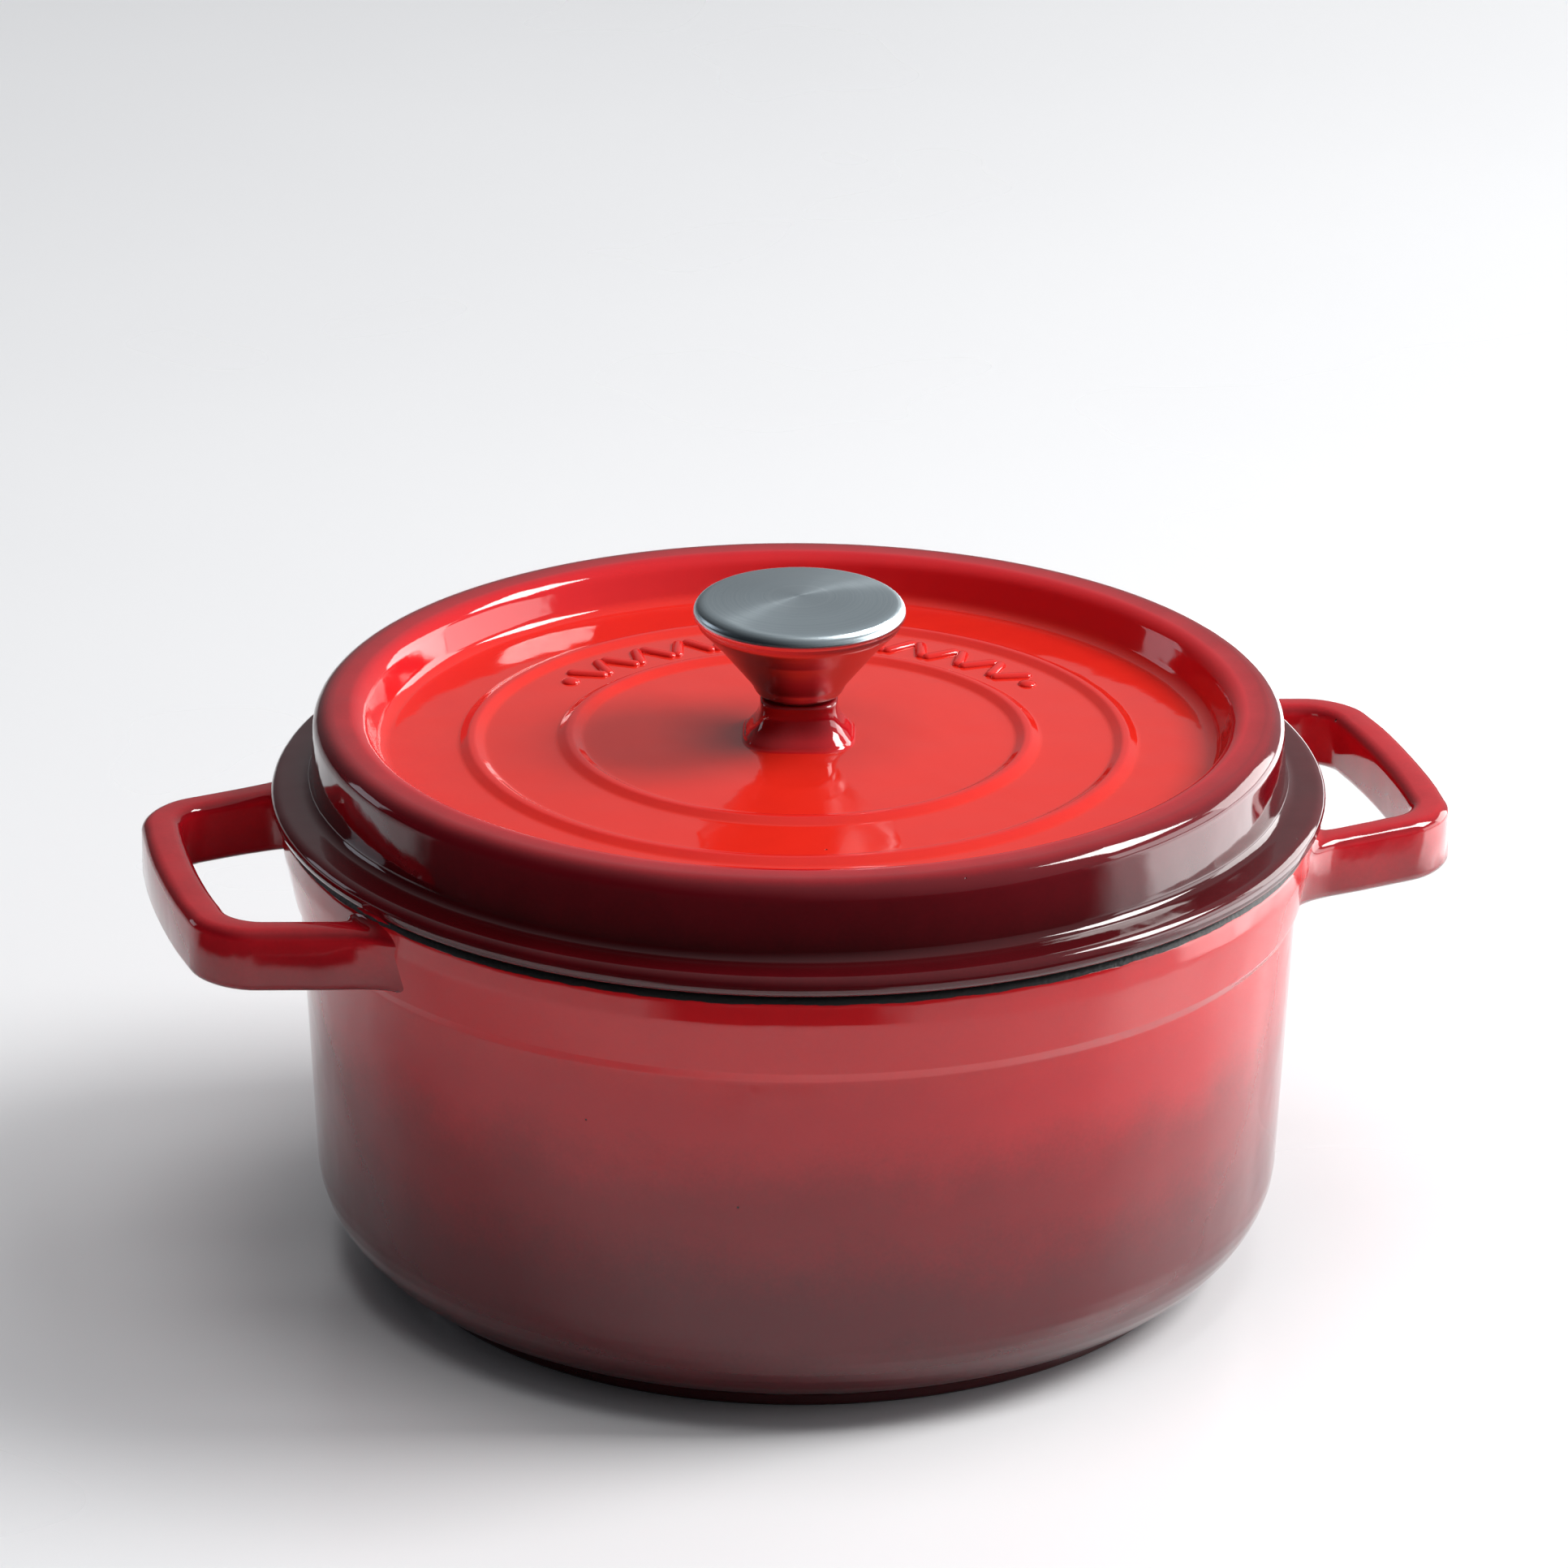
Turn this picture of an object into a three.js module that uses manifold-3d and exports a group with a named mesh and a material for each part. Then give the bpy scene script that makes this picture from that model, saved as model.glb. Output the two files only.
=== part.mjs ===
// Covered casserole dish: an enamelled cast-iron pot with two cast loop handles, a lid with a
// recessed top, and a steel knob held on the lid by a screw from below.
// Millimetres, +Z up. The origin is the centre of the foot's underside, and the handles lie
// along X. The lid is seated and the knob is tightened.

import * as THREE from 'three';
import { mergeVertices } from 'three/addons/utils/BufferGeometryUtils.js';
import Module from 'manifold-3d';

const wasm = await Module();
wasm.setup();

// ---- Fineness -------------------------------------------------------------------------------

const BODY_SEGMENTS = 60;
const KNOB_SEGMENTS = 32;
const SCREW_SEGMENTS = 24;
const STUD_SIDES = 6;
const CHORD_ERROR = 0.25;
const WELD_DISTANCE = 1e-4;

// ---- Clearances -----------------------------------------------------------------------------

const CONTACT_GAP = 0.3;
const LIP_CLEARANCE = 0.9;
const SCREW_CLEARANCE = 0.3;

// ---- Pot ------------------------------------------------------------------------------------

const POT_RADIUS = 121;
const POT_HEIGHT = 115.6;
const POT_TAPER = 4;
const POT_CORNER = 23;
const POT_WALL = 3.6;
const POT_BASE = 4.4;
const INNER_CORNER = 20;
const FOOT_INSET = 17.4;
const FOOT_HEIGHT = 3.4;
const FOOT_ROUND = 1;
const HEEL_HEIGHT = 9.3;
const BAND_HEIGHT = 21.9;
const BAND_PROUD = 1.5;
const BAND_STEP = 0.9;
const BAND_ROUND = 0.8;
const BAND_FLARE = 2.7;
const RIM_WIDTH = 6;
const RIM_ROUND = 2.4;
const MOUTH_ROUND = 1.2;

// ---- Handles --------------------------------------------------------------------------------

const HANDLE_REACH = 33.8;
const HANDLE_THICKNESS = 15.8;
const HANDLE_DROP = 3.4;
const HANDLE_ROOT_WIDTH = 108;
const HANDLE_TIP_WIDTH = 84.5;
const HANDLE_BAR = 9.2;
const HANDLE_ARM = 9.2;
const HANDLE_BOW = 4.2;
const HANDLE_CORNER = 14;
const HANDLE_INNER_CORNER = 8;
const HANDLE_BOW_ROUND = 220;
const HANDLE_EDGE = 3;
const HANDLE_EDGE_STEPS = 2;
const HANDLE_SINK = 3;

// ---- Lid ------------------------------------------------------------------------------------

const LID_OVERHANG = 2.3;
const LID_WALL = 3.8;
const LID_RISE = 24.1;
const FLANGE_THICKNESS = 5.6;
const FLANGE_SLOPE = 0.5;
const FLANGE_ROUND = 2.4;
const WALL_FOOT_ROUND = 1.8;
const WALL_DRAFT = 0.9;
const CREST_WIDTH = 11.8;
const CREST_ROUND = 4.5;
const RECESS_DEPTH = 10.5;
const RECESS_RUN = 4;
const RECESS_ROUND = 4;
const FLOOR_DOME = 2.4;
const FLOOR_STATIONS = 4;
const LIP_DEPTH = 5.2;
const LIP_STEP = 0.4;
const LIP_ROUND = 1.4;
const LIP_ROOT_ROUND = 0.8;
const UNDER_CREST_ROUND = 3;
const RING_RADII = [55.4, 79];
const RING_HALF_WIDTH = 1.9;
const RING_PROUD = 1.2;
const RING_STEPS = 2;

// ---- Boss on the lid, a rounded square in plan -----------------------------------------------

const BOSS_HEIGHT = 10.2;
const BOSS_WAIST = 9;
const BOSS_TOP_FLARE = 0.5;
const BOSS_FOOT = 12.8;
const BOSS_FOOT_HEIGHT = 1.2;
const BOSS_FLARE_HEIGHT = 5;
const BOSS_WAIST_ROUND = 6;
const BOSS_FOOT_ROUND = 0.8;
const BOSS_TOP_ROUND = 0.8;
const BOSS_SQUARENESS = 3.5;
const BOSS_SINK = 2;
const LID_TURN_DEG = -15;

// ---- Basting studs under the lid --------------------------------------------------------------

const STUD_FIRST_RADIUS = 34;
const STUD_ROW_SPACING = 24;
const STUD_PITCH = 25;
const STUD_LENGTH = 4;
const STUD_ROOT_RADIUS = 2.6;
const STUD_TIP_RADIUS = 1.2;
const STUD_SINK = 1.2;
const STUD_MARGIN = 8;

// ---- Knob -----------------------------------------------------------------------------------

const KNOB_HEIGHT = 25;
const KNOB_RADIUS = 26;
const KNOB_SHEET = 1.2;
const CONE_FLOOR = 1.5;
const CONE_BASE_RADIUS = 10;
const CONE_BASE_ROUND = 2.4;
const CONE_HIP_RADIUS = 11.6;
const CONE_HIP_HEIGHT = 3.2;
const CONE_HIP_ROUND = 5;
const CONE_FLARE_RADIUS = 19.6;
const CONE_FLARE_HEIGHT = 13;
const CONE_FLARE_ROUND = 9;
const COLLAR_HEIGHT = 1.9;
const CAP_DOME = 1.1;
const CAP_SKIRT = 4.2;
const CAP_EDGE_ROUND = 3.2;
const CAP_HEM_ROUND = 0.5;
const CAP_STATIONS = 3;
const SLEEVE_WALL = 2;
const SLEEVE_FLANGE = 7.4;
const SLEEVE_FLANGE_THICKNESS = 1.5;
const SLEEVE_CROWN = 2.5;
const BORE_SPARE = 2.5;

// ---- Screw and washers ------------------------------------------------------------------------

const SCREW_RADIUS = 3;
const SCREW_LENGTH = 30;
const SCREW_CHAMFER = 0.6;
const HEAD_RADIUS = 6;
const HEAD_HEIGHT = 3.6;
const HEAD_ROUND = 1.6;
const DRIVE_WIDTH = 1.4;
const DRIVE_LENGTH = 6.4;
const DRIVE_DEPTH = 2;
const FLAT_WASHER_RADIUS = 6.2;
const FLAT_WASHER_THICKNESS = 1.6;
const SPRING_WASHER_RADIUS = 5.4;
const SPRING_WASHER_THICKNESS = 1.6;
const SPRING_WASHER_SPLIT = 1;
const SPRING_WASHER_SLANT = Math.PI / 6;
const WASHER_ROUND = 0.3;

// ---- Sizes that follow ------------------------------------------------------------------------

const rimRadius = POT_RADIUS + BAND_PROUD + BAND_FLARE;
const mouthRadius = rimRadius - RIM_WIDTH;
const bandBottom = POT_HEIGHT - BAND_HEIGHT;
const heelRadius = POT_RADIUS - POT_TAPER;
const footRadius = heelRadius - FOOT_INSET;

const seatHeight = POT_HEIGHT + CONTACT_GAP;
const crestHeight = seatHeight + LID_RISE;
const floorEdgeHeight = crestHeight - RECESS_DEPTH;
const floorHeight = floorEdgeHeight + FLOOR_DOME;
const lidRadius = rimRadius + LID_OVERHANG;
const lipRadius = mouthRadius - LIP_CLEARANCE;
const lidWallRadius = lipRadius - LIP_STEP;
const crestRadius = lidWallRadius - WALL_DRAFT;
const floorRadius = crestRadius - CREST_WIDTH - RECESS_RUN;

const bossTop = floorHeight + BOSS_HEIGHT;
const knobBottom = bossTop + CONTACT_GAP;
const knobTop = knobBottom + KNOB_HEIGHT;
const collarRadius = KNOB_RADIUS - KNOB_SHEET - CONTACT_GAP;
const collarTop = knobTop - CAP_DOME - CAP_SKIRT + CONTACT_GAP;

const holeRadius = SCREW_RADIUS + SCREW_CLEARANCE;
const flatWasherTop = floorHeight - LID_WALL - CONTACT_GAP;
const springWasherTop = flatWasherTop - FLAT_WASHER_THICKNESS - CONTACT_GAP;
const screwSeat = springWasherTop - SPRING_WASHER_THICKNESS - CONTACT_GAP;
const screwTip = screwSeat + SCREW_LENGTH;

// ---- Outlines ---------------------------------------------------------------------------------

// The arc of the given radius that rounds the corner between two straight sides.
function cornerArc(before, corner, after, radius) {
  const at = new THREE.Vector2(corner[0], corner[1]);
  const back = new THREE.Vector2(before[0], before[1]).sub(at).normalize();
  const onward = new THREE.Vector2(after[0], after[1]).sub(at).normalize();
  const opening = Math.acos(THREE.MathUtils.clamp(back.dot(onward), -1, 1));
  const start = back.clone().multiplyScalar(radius / Math.tan(opening / 2)).add(at);
  const centre = back.clone().add(onward).normalize();
  centre.multiplyScalar(radius / Math.sin(opening / 2)).add(at);
  const turn = (Math.PI - opening) * Math.sign(onward.cross(back));
  const stepAngle = 2 * Math.acos(1 - Math.min(CHORD_ERROR / radius, 0.5));
  const steps = Math.max(1, Math.ceil(Math.abs(turn) / stepAngle));
  const points = [];
  for (let step = 0; step <= steps; step += 1) {
    points.push(start.clone().rotateAround(centre, (turn * step) / steps));
  }
  return points;
}

// A closed outline from corners written [across, along] or [across, along, radius].
function roundedOutline(corners) {
  return corners.flatMap((corner, index) => {
    const radius = corner[2] ?? 0;
    if (radius === 0) {
      return [new THREE.Vector2(corner[0], corner[1])];
    }
    const before = corners.at(index - 1);
    const after = corners[(index + 1) % corners.length];
    return cornerArc(before, corner, after, radius);
  });
}

// ---- Solids -----------------------------------------------------------------------------------

// Revolves corners listed anticlockwise, with radius across and height along. An outline that
// starts and ends on the axis stays open there, and any other is closed into a ring.
function turned(corners, segments) {
  const outline = roundedOutline(corners);
  const touchesAxis = outline[0].x === 0 && outline.at(-1).x === 0;
  if (!touchesAxis) {
    outline.push(outline[0].clone());
  }
  const geometry = new THREE.LatheGeometry(outline, segments);
  geometry.rotateX(Math.PI / 2);
  return geometry;
}

// A closed solid from a geometry: shared vertices are merged, and the triangles that have no
// area on the axis are left out.
function toSolid(geometry) {
  const bare = geometry.clone();
  bare.deleteAttribute('normal');
  bare.deleteAttribute('uv');
  const welded = mergeVertices(bare, WELD_DISTANCE);
  const corners = welded.index.array;
  const triangles = [];
  for (let first = 0; first < corners.length; first += 3) {
    const [a, b, c] = corners.slice(first, first + 3);
    if (a !== b && b !== c && c !== a) {
      triangles.push(a, b, c);
    }
  }
  const vertProperties = new Float32Array(welded.attributes.position.array);
  const triVerts = new Uint32Array(triangles);
  return new wasm.Manifold(new wasm.Mesh({ numProp: 3, vertProperties, triVerts }));
}

function toGeometry(solid) {
  const mesh = solid.getMesh();
  const geometry = new THREE.BufferGeometry();
  geometry.setAttribute('position', new THREE.BufferAttribute(mesh.vertProperties, 3));
  geometry.setIndex(new THREE.BufferAttribute(mesh.triVerts, 1));
  geometry.computeVertexNormals();
  return geometry;
}

// A round hole along the axis, as the solid that cuts it.
function axisHole(radius, bottom, top, segments) {
  const geometry = new THREE.CylinderGeometry(radius, radius, top - bottom, segments);
  geometry.rotateX(Math.PI / 2);
  geometry.translate(0, 0, (bottom + top) / 2);
  return toSolid(geometry);
}

function box(sizeX, sizeY, sizeZ, x, y, z) {
  const geometry = new THREE.BoxGeometry(sizeX, sizeY, sizeZ);
  geometry.translate(x, y, z);
  return toSolid(geometry);
}

// ---- Pot --------------------------------------------------------------------------------------

function bowl() {
  const heelInner = heelRadius - POT_WALL;
  const bandInner = POT_RADIUS - POT_WALL;
  const mouthFoot = POT_HEIGHT - RIM_WIDTH;
  const corners = [
    [0, 0],
    [footRadius, 0, FOOT_ROUND],
    [footRadius, FOOT_HEIGHT],
    [heelRadius, HEEL_HEIGHT, POT_CORNER],
    [POT_RADIUS, bandBottom, BAND_ROUND],
    [POT_RADIUS + BAND_PROUD, bandBottom + BAND_STEP, BAND_ROUND],
    [rimRadius, POT_HEIGHT, RIM_ROUND],
    [mouthRadius, POT_HEIGHT, MOUTH_ROUND],
    [mouthRadius, mouthFoot],
    [bandInner, bandBottom],
    [heelInner, POT_BASE, INNER_CORNER],
    [0, POT_BASE],
  ];
  return toSolid(turned(corners, BODY_SEGMENTS));
}

// The loop's plan: two arms that taper outwards and a bar that bows outwards. The arms start
// inside the pot's wall.
function loopOutline(wallCore) {
  const rootHalf = HANDLE_ROOT_WIDTH / 2;
  const tipHalf = HANDLE_TIP_WIDTH / 2;
  const rootX = Math.sqrt(wallCore ** 2 - rootHalf ** 2) - HANDLE_SINK;
  const reachX = rimRadius + HANDLE_REACH;
  const cornerX = reachX - HANDLE_BOW;
  const innerX = reachX - HANDLE_BAR;
  const innerCornerX = cornerX - HANDLE_BAR;
  const innerTipHalf = tipHalf + ((rootHalf - tipHalf) * HANDLE_BAR) / (cornerX - rootX) - HANDLE_ARM;
  return roundedOutline([
    [rootX, -rootHalf],
    [cornerX, -tipHalf, HANDLE_CORNER],
    [reachX, 0, HANDLE_BOW_ROUND],
    [cornerX, tipHalf, HANDLE_CORNER],
    [rootX, rootHalf],
    [rootX, rootHalf - HANDLE_ARM],
    [innerCornerX, innerTipHalf, HANDLE_INNER_CORNER],
    [innerX, 0, HANDLE_BOW_ROUND],
    [innerCornerX, -innerTipHalf, HANDLE_INNER_CORNER],
    [rootX, HANDLE_ARM - rootHalf],
  ]);
}

function handleLoop() {
  const wallCore = mouthRadius + (rimRadius - BAND_FLARE - mouthRadius) / 2;
  const geometry = new THREE.ExtrudeGeometry(new THREE.Shape(loopOutline(wallCore)), {
    depth: HANDLE_THICKNESS - 2 * HANDLE_EDGE,
    bevelThickness: HANDLE_EDGE,
    bevelSize: HANDLE_EDGE,
    bevelOffset: -HANDLE_EDGE,
    bevelSegments: HANDLE_EDGE_STEPS,
  });
  const bottom = POT_HEIGHT - HANDLE_DROP - HANDLE_THICKNESS;
  geometry.translate(0, 0, bottom + HANDLE_EDGE);
  return toSolid(geometry).subtract(axisHole(wallCore, 0, POT_HEIGHT, BODY_SEGMENTS));
}

function pot() {
  const loop = handleLoop();
  return toGeometry(bowl().add(loop).add(loop.rotate([0, 0, 180])));
}

// ---- Lid --------------------------------------------------------------------------------------

// Height of the lid's floor, which domes gently from the recess wall to the middle.
function floorAt(radius) {
  return floorEdgeHeight + FLOOR_DOME * (1 - (radius / floorRadius) ** 2);
}

function ringBump(ringRadius) {
  const corners = [];
  for (let step = 0; step <= RING_STEPS; step += 1) {
    const angle = (Math.PI * step) / RING_STEPS;
    const radius = ringRadius + RING_HALF_WIDTH * Math.cos(angle);
    corners.push([radius, floorAt(radius) + RING_PROUD * Math.sin(angle)]);
  }
  return corners;
}

function isOnRing(radius) {
  return RING_RADII.some((ring) => Math.abs(radius - ring) <= RING_HALF_WIDTH + 1);
}

// The floor from the recess wall to the axis, with the raised rings on it.
function floorCorners() {
  const corners = RING_RADII.flatMap(ringBump);
  for (let station = 0; station < FLOOR_STATIONS; station += 1) {
    const radius = (floorRadius * station) / FLOOR_STATIONS;
    if (!isOnRing(radius)) {
      corners.push([radius, floorAt(radius)]);
    }
  }
  return corners.sort((first, second) => second[0] - first[0]);
}

function underFloorCorners() {
  const corners = [];
  for (let station = 0; station < FLOOR_STATIONS; station += 1) {
    const radius = (floorRadius * station) / FLOOR_STATIONS;
    corners.push([radius, floorAt(radius) - LID_WALL]);
  }
  return corners;
}

function lidPlate() {
  const innerWall = lidWallRadius - LID_WALL;
  const slope = Math.hypot(RECESS_DEPTH, RECESS_RUN);
  const underRun = (LID_WALL * (slope - RECESS_RUN)) / RECESS_DEPTH;
  const underEdgeRadius = floorRadius + underRun;
  const underEdgeHeight = floorEdgeHeight - LID_WALL;
  const underCrestHeight = crestHeight - LID_WALL;
  const underCrestRadius = underEdgeRadius + RECESS_RUN;
  const flangeTop = seatHeight + FLANGE_THICKNESS;
  const corners = [
    ...underFloorCorners(),
    [underEdgeRadius, underEdgeHeight, RECESS_ROUND],
    [underCrestRadius, underCrestHeight, UNDER_CREST_ROUND],
    [innerWall, underCrestHeight, UNDER_CREST_ROUND],
    [innerWall, seatHeight - LIP_DEPTH, LIP_ROUND],
    [lipRadius, seatHeight - LIP_DEPTH, LIP_ROUND],
    [lipRadius, seatHeight, LIP_ROOT_ROUND],
    [lidRadius, seatHeight, FLANGE_ROUND],
    [lidRadius, flangeTop - FLANGE_SLOPE, FLANGE_ROUND],
    [lidWallRadius, flangeTop, WALL_FOOT_ROUND],
    [crestRadius, crestHeight, CREST_ROUND],
    [crestRadius - CREST_WIDTH, crestHeight, CREST_ROUND],
    [floorRadius, floorEdgeHeight, RECESS_ROUND],
    ...floorCorners(),
  ];
  return toSolid(turned(corners, BODY_SEGMENTS));
}

// How far a rounded square of half-width 1 reaches in the given direction.
function squareReach(angle) {
  const across = Math.abs(Math.cos(angle)) ** BOSS_SQUARENESS;
  const along = Math.abs(Math.sin(angle)) ** BOSS_SQUARENESS;
  return (across + along) ** (-1 / BOSS_SQUARENESS);
}

function boss() {
  const corners = [
    [0, floorHeight - BOSS_SINK],
    [BOSS_FOOT, floorHeight - BOSS_SINK],
    [BOSS_FOOT, floorHeight + BOSS_FOOT_HEIGHT, BOSS_FOOT_ROUND],
    [BOSS_WAIST, floorHeight + BOSS_FLARE_HEIGHT, BOSS_WAIST_ROUND],
    [BOSS_WAIST + BOSS_TOP_FLARE, bossTop, BOSS_TOP_ROUND],
    [0, bossTop],
  ];
  const geometry = turned(corners, KNOB_SEGMENTS);
  const position = geometry.attributes.position;
  for (let index = 0; index < position.count; index += 1) {
    const x = position.getX(index);
    const y = position.getY(index);
    const reach = squareReach(Math.atan2(y, x));
    position.setXY(index, x * reach, y * reach);
  }
  return toSolid(geometry).rotate([0, 0, LID_TURN_DEG]);
}

function stud(radius, angle) {
  const root = floorAt(radius) - LID_WALL + STUD_SINK;
  const length = STUD_LENGTH + STUD_SINK;
  const geometry = new THREE.CylinderGeometry(STUD_ROOT_RADIUS, STUD_TIP_RADIUS, length, STUD_SIDES);
  geometry.rotateX(Math.PI / 2);
  geometry.translate(radius, 0, root - length / 2);
  geometry.rotateZ(angle);
  return toSolid(geometry);
}

function studs() {
  const all = [];
  for (let radius = STUD_FIRST_RADIUS; radius < floorRadius - STUD_MARGIN; radius += STUD_ROW_SPACING) {
    const count = Math.floor((2 * Math.PI * radius) / STUD_PITCH);
    for (let index = 0; index < count; index += 1) {
      all.push(stud(radius, (2 * Math.PI * index) / count));
    }
  }
  return all;
}

function lid() {
  const whole = studs().reduce((solid, one) => solid.add(one), lidPlate().add(boss()));
  const hole = axisHole(holeRadius, seatHeight, knobBottom + 1, SCREW_SEGMENTS);
  return toGeometry(whole.subtract(hole));
}

// ---- Knob -------------------------------------------------------------------------------------

// Open steel cone that stands on the boss, swells at the hip and flares to a collar under the cap.
function knobCone() {
  const hipHeight = knobBottom + CONE_HIP_HEIGHT;
  const flareHeight = knobBottom + CONE_FLARE_HEIGHT;
  const collarBottom = collarTop - COLLAR_HEIGHT;
  const sheetRise = KNOB_SHEET / 2;
  return turned([
    [holeRadius, knobBottom],
    [CONE_BASE_RADIUS, knobBottom, CONE_BASE_ROUND],
    [CONE_HIP_RADIUS, hipHeight, CONE_HIP_ROUND],
    [CONE_FLARE_RADIUS, flareHeight, CONE_FLARE_ROUND],
    [collarRadius, collarBottom],
    [collarRadius, collarTop],
    [collarRadius - KNOB_SHEET, collarTop],
    [collarRadius - KNOB_SHEET, collarBottom + sheetRise],
    [CONE_FLARE_RADIUS - KNOB_SHEET, flareHeight + sheetRise, CONE_FLARE_ROUND + KNOB_SHEET],
    [CONE_HIP_RADIUS - KNOB_SHEET, hipHeight + sheetRise, CONE_HIP_ROUND - KNOB_SHEET],
    [CONE_BASE_RADIUS - sheetRise, knobBottom + CONE_FLOOR, CONE_BASE_ROUND - KNOB_SHEET],
    [holeRadius, knobBottom + CONE_FLOOR],
  ], KNOB_SEGMENTS);
}

// Points of a shallow dome between the axis and a radius, from the rim inwards.
function domeCorners(radius, edgeHeight) {
  const corners = [];
  for (let station = CAP_STATIONS - 1; station >= 0; station -= 1) {
    const share = station / CAP_STATIONS;
    corners.push([radius * share, edgeHeight + CAP_DOME * (1 - share ** 2)]);
  }
  return corners;
}

// Spun steel disc whose skirt closes over the cone's edge.
function knobCap() {
  const edge = knobTop - CAP_DOME;
  const inner = KNOB_RADIUS - KNOB_SHEET;
  return turned([
    ...domeCorners(inner, edge - KNOB_SHEET).reverse(),
    [inner, edge - KNOB_SHEET, CAP_HEM_ROUND],
    [inner, edge - CAP_SKIRT],
    [KNOB_RADIUS, edge - CAP_SKIRT, CAP_HEM_ROUND],
    [KNOB_RADIUS, edge, CAP_EDGE_ROUND],
    ...domeCorners(KNOB_RADIUS, edge),
  ], KNOB_SEGMENTS);
}

// Threaded sleeve that stands on the cone's floor. The thread is left plain.
function knobSleeve() {
  const bottom = knobBottom + CONE_FLOOR + CONTACT_GAP;
  const flangeTop = bottom + SLEEVE_FLANGE_THICKNESS;
  const boreTop = screwTip + BORE_SPARE;
  const outer = holeRadius + SLEEVE_WALL;
  return turned([
    [0, boreTop],
    [holeRadius, boreTop],
    [holeRadius, bottom],
    [SLEEVE_FLANGE, bottom],
    [SLEEVE_FLANGE, flangeTop],
    [outer, flangeTop],
    [outer, boreTop + SLEEVE_CROWN],
    [0, boreTop + SLEEVE_CROWN],
  ], SCREW_SEGMENTS);
}

// ---- Screw and washers ------------------------------------------------------------------------

function knobScrew() {
  const headBottom = screwSeat - HEAD_HEIGHT;
  const body = toSolid(turned([
    [0, headBottom],
    [HEAD_RADIUS, headBottom, HEAD_ROUND],
    [HEAD_RADIUS, screwSeat],
    [SCREW_RADIUS, screwSeat],
    [SCREW_RADIUS, screwTip - SCREW_CHAMFER],
    [SCREW_RADIUS - SCREW_CHAMFER, screwTip],
    [0, screwTip],
  ], SCREW_SEGMENTS));
  const slot = box(DRIVE_LENGTH, DRIVE_WIDTH, 2 * DRIVE_DEPTH, 0, 0, headBottom);
  return toGeometry(body.subtract(slot).subtract(slot.rotate([0, 0, 90])));
}

function washerRing(radius, thickness, top) {
  return turned([
    [holeRadius, top - thickness],
    [radius, top - thickness, WASHER_ROUND],
    [radius, top, WASHER_ROUND],
    [holeRadius, top],
  ], SCREW_SEGMENTS);
}

// A lock washer with a slanted cut through one side.
function springWasher() {
  const ring = toSolid(washerRing(SPRING_WASHER_RADIUS, SPRING_WASHER_THICKNESS, springWasherTop));
  const cutLength = 4 * SPRING_WASHER_THICKNESS;
  const cutter = new THREE.BoxGeometry(SPRING_WASHER_RADIUS, SPRING_WASHER_SPLIT, cutLength);
  cutter.rotateX(SPRING_WASHER_SLANT);
  cutter.translate(SPRING_WASHER_RADIUS, 0, springWasherTop - SPRING_WASHER_THICKNESS / 2);
  return toGeometry(ring.subtract(toSolid(cutter)));
}

// ---- Assembly ---------------------------------------------------------------------------------

const ENAMEL = { color: 0xa5121d, roughness: 0.12, metalness: 0 };
const LID_ENAMEL = { color: 0xc71722, roughness: 0.1, metalness: 0 };
const POLISHED_STEEL = { color: 0xc9c7c4, roughness: 0.22, metalness: 1 };
const SATIN_STEEL = { color: 0xb4b2b0, roughness: 0.35, metalness: 1 };
const PLATED_STEEL = { color: 0x9c9da0, roughness: 0.4, metalness: 1 };

function piece(name, geometry, finish) {
  const mesh = new THREE.Mesh(geometry, new THREE.MeshStandardMaterial(finish));
  mesh.name = name;
  return mesh;
}

const casserole = new THREE.Group();
casserole.add(piece('pot', pot(), ENAMEL));
casserole.add(piece('lid', lid(), LID_ENAMEL));
casserole.add(piece('knob_cone', knobCone(), SATIN_STEEL));
casserole.add(piece('knob_cap', knobCap(), POLISHED_STEEL));
casserole.add(piece('knob_sleeve', knobSleeve(), PLATED_STEEL));
casserole.add(piece('knob_screw', knobScrew(), PLATED_STEEL));
casserole.add(piece('spring_washer', springWasher(), PLATED_STEEL));
casserole.add(piece(
  'flat_washer',
  washerRing(FLAT_WASHER_RADIUS, FLAT_WASHER_THICKNESS, flatWasherTop),
  PLATED_STEEL,
));

export default casserole;
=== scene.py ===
"""Covered casserole dish: the finished pieces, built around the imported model.

Sizes are in millimetres on the design's own axes: +Z is up, the handles lie along X, and the dish stands
on z = 0. Every mesh is scaled to metres once, as it becomes a piece.
"""

import logging
import math
from collections.abc import Callable
from dataclasses import dataclass
from enum import Enum

import bmesh
import bpy
from bmesh.types import BMEdge, BMesh, BMVert
from mathutils import Matrix, Vector


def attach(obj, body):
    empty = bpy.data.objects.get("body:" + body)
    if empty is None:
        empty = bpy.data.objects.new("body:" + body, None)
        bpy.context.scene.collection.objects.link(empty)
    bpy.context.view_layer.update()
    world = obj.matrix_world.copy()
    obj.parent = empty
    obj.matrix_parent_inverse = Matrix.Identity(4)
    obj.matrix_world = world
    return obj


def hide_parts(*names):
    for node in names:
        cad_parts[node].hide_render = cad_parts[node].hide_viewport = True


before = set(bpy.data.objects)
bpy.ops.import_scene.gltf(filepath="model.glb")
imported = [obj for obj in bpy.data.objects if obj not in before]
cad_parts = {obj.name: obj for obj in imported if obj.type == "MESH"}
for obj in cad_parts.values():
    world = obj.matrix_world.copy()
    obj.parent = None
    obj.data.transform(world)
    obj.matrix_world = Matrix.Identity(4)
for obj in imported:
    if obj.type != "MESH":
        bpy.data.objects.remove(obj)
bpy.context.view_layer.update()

MM = 0.001
FULL_TURN = 2 * math.pi
DISH_STEPS = 192
KNOB_STEPS = 128
FASTENER_STEPS = 64
ARC_STEP = math.radians(11)
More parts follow.
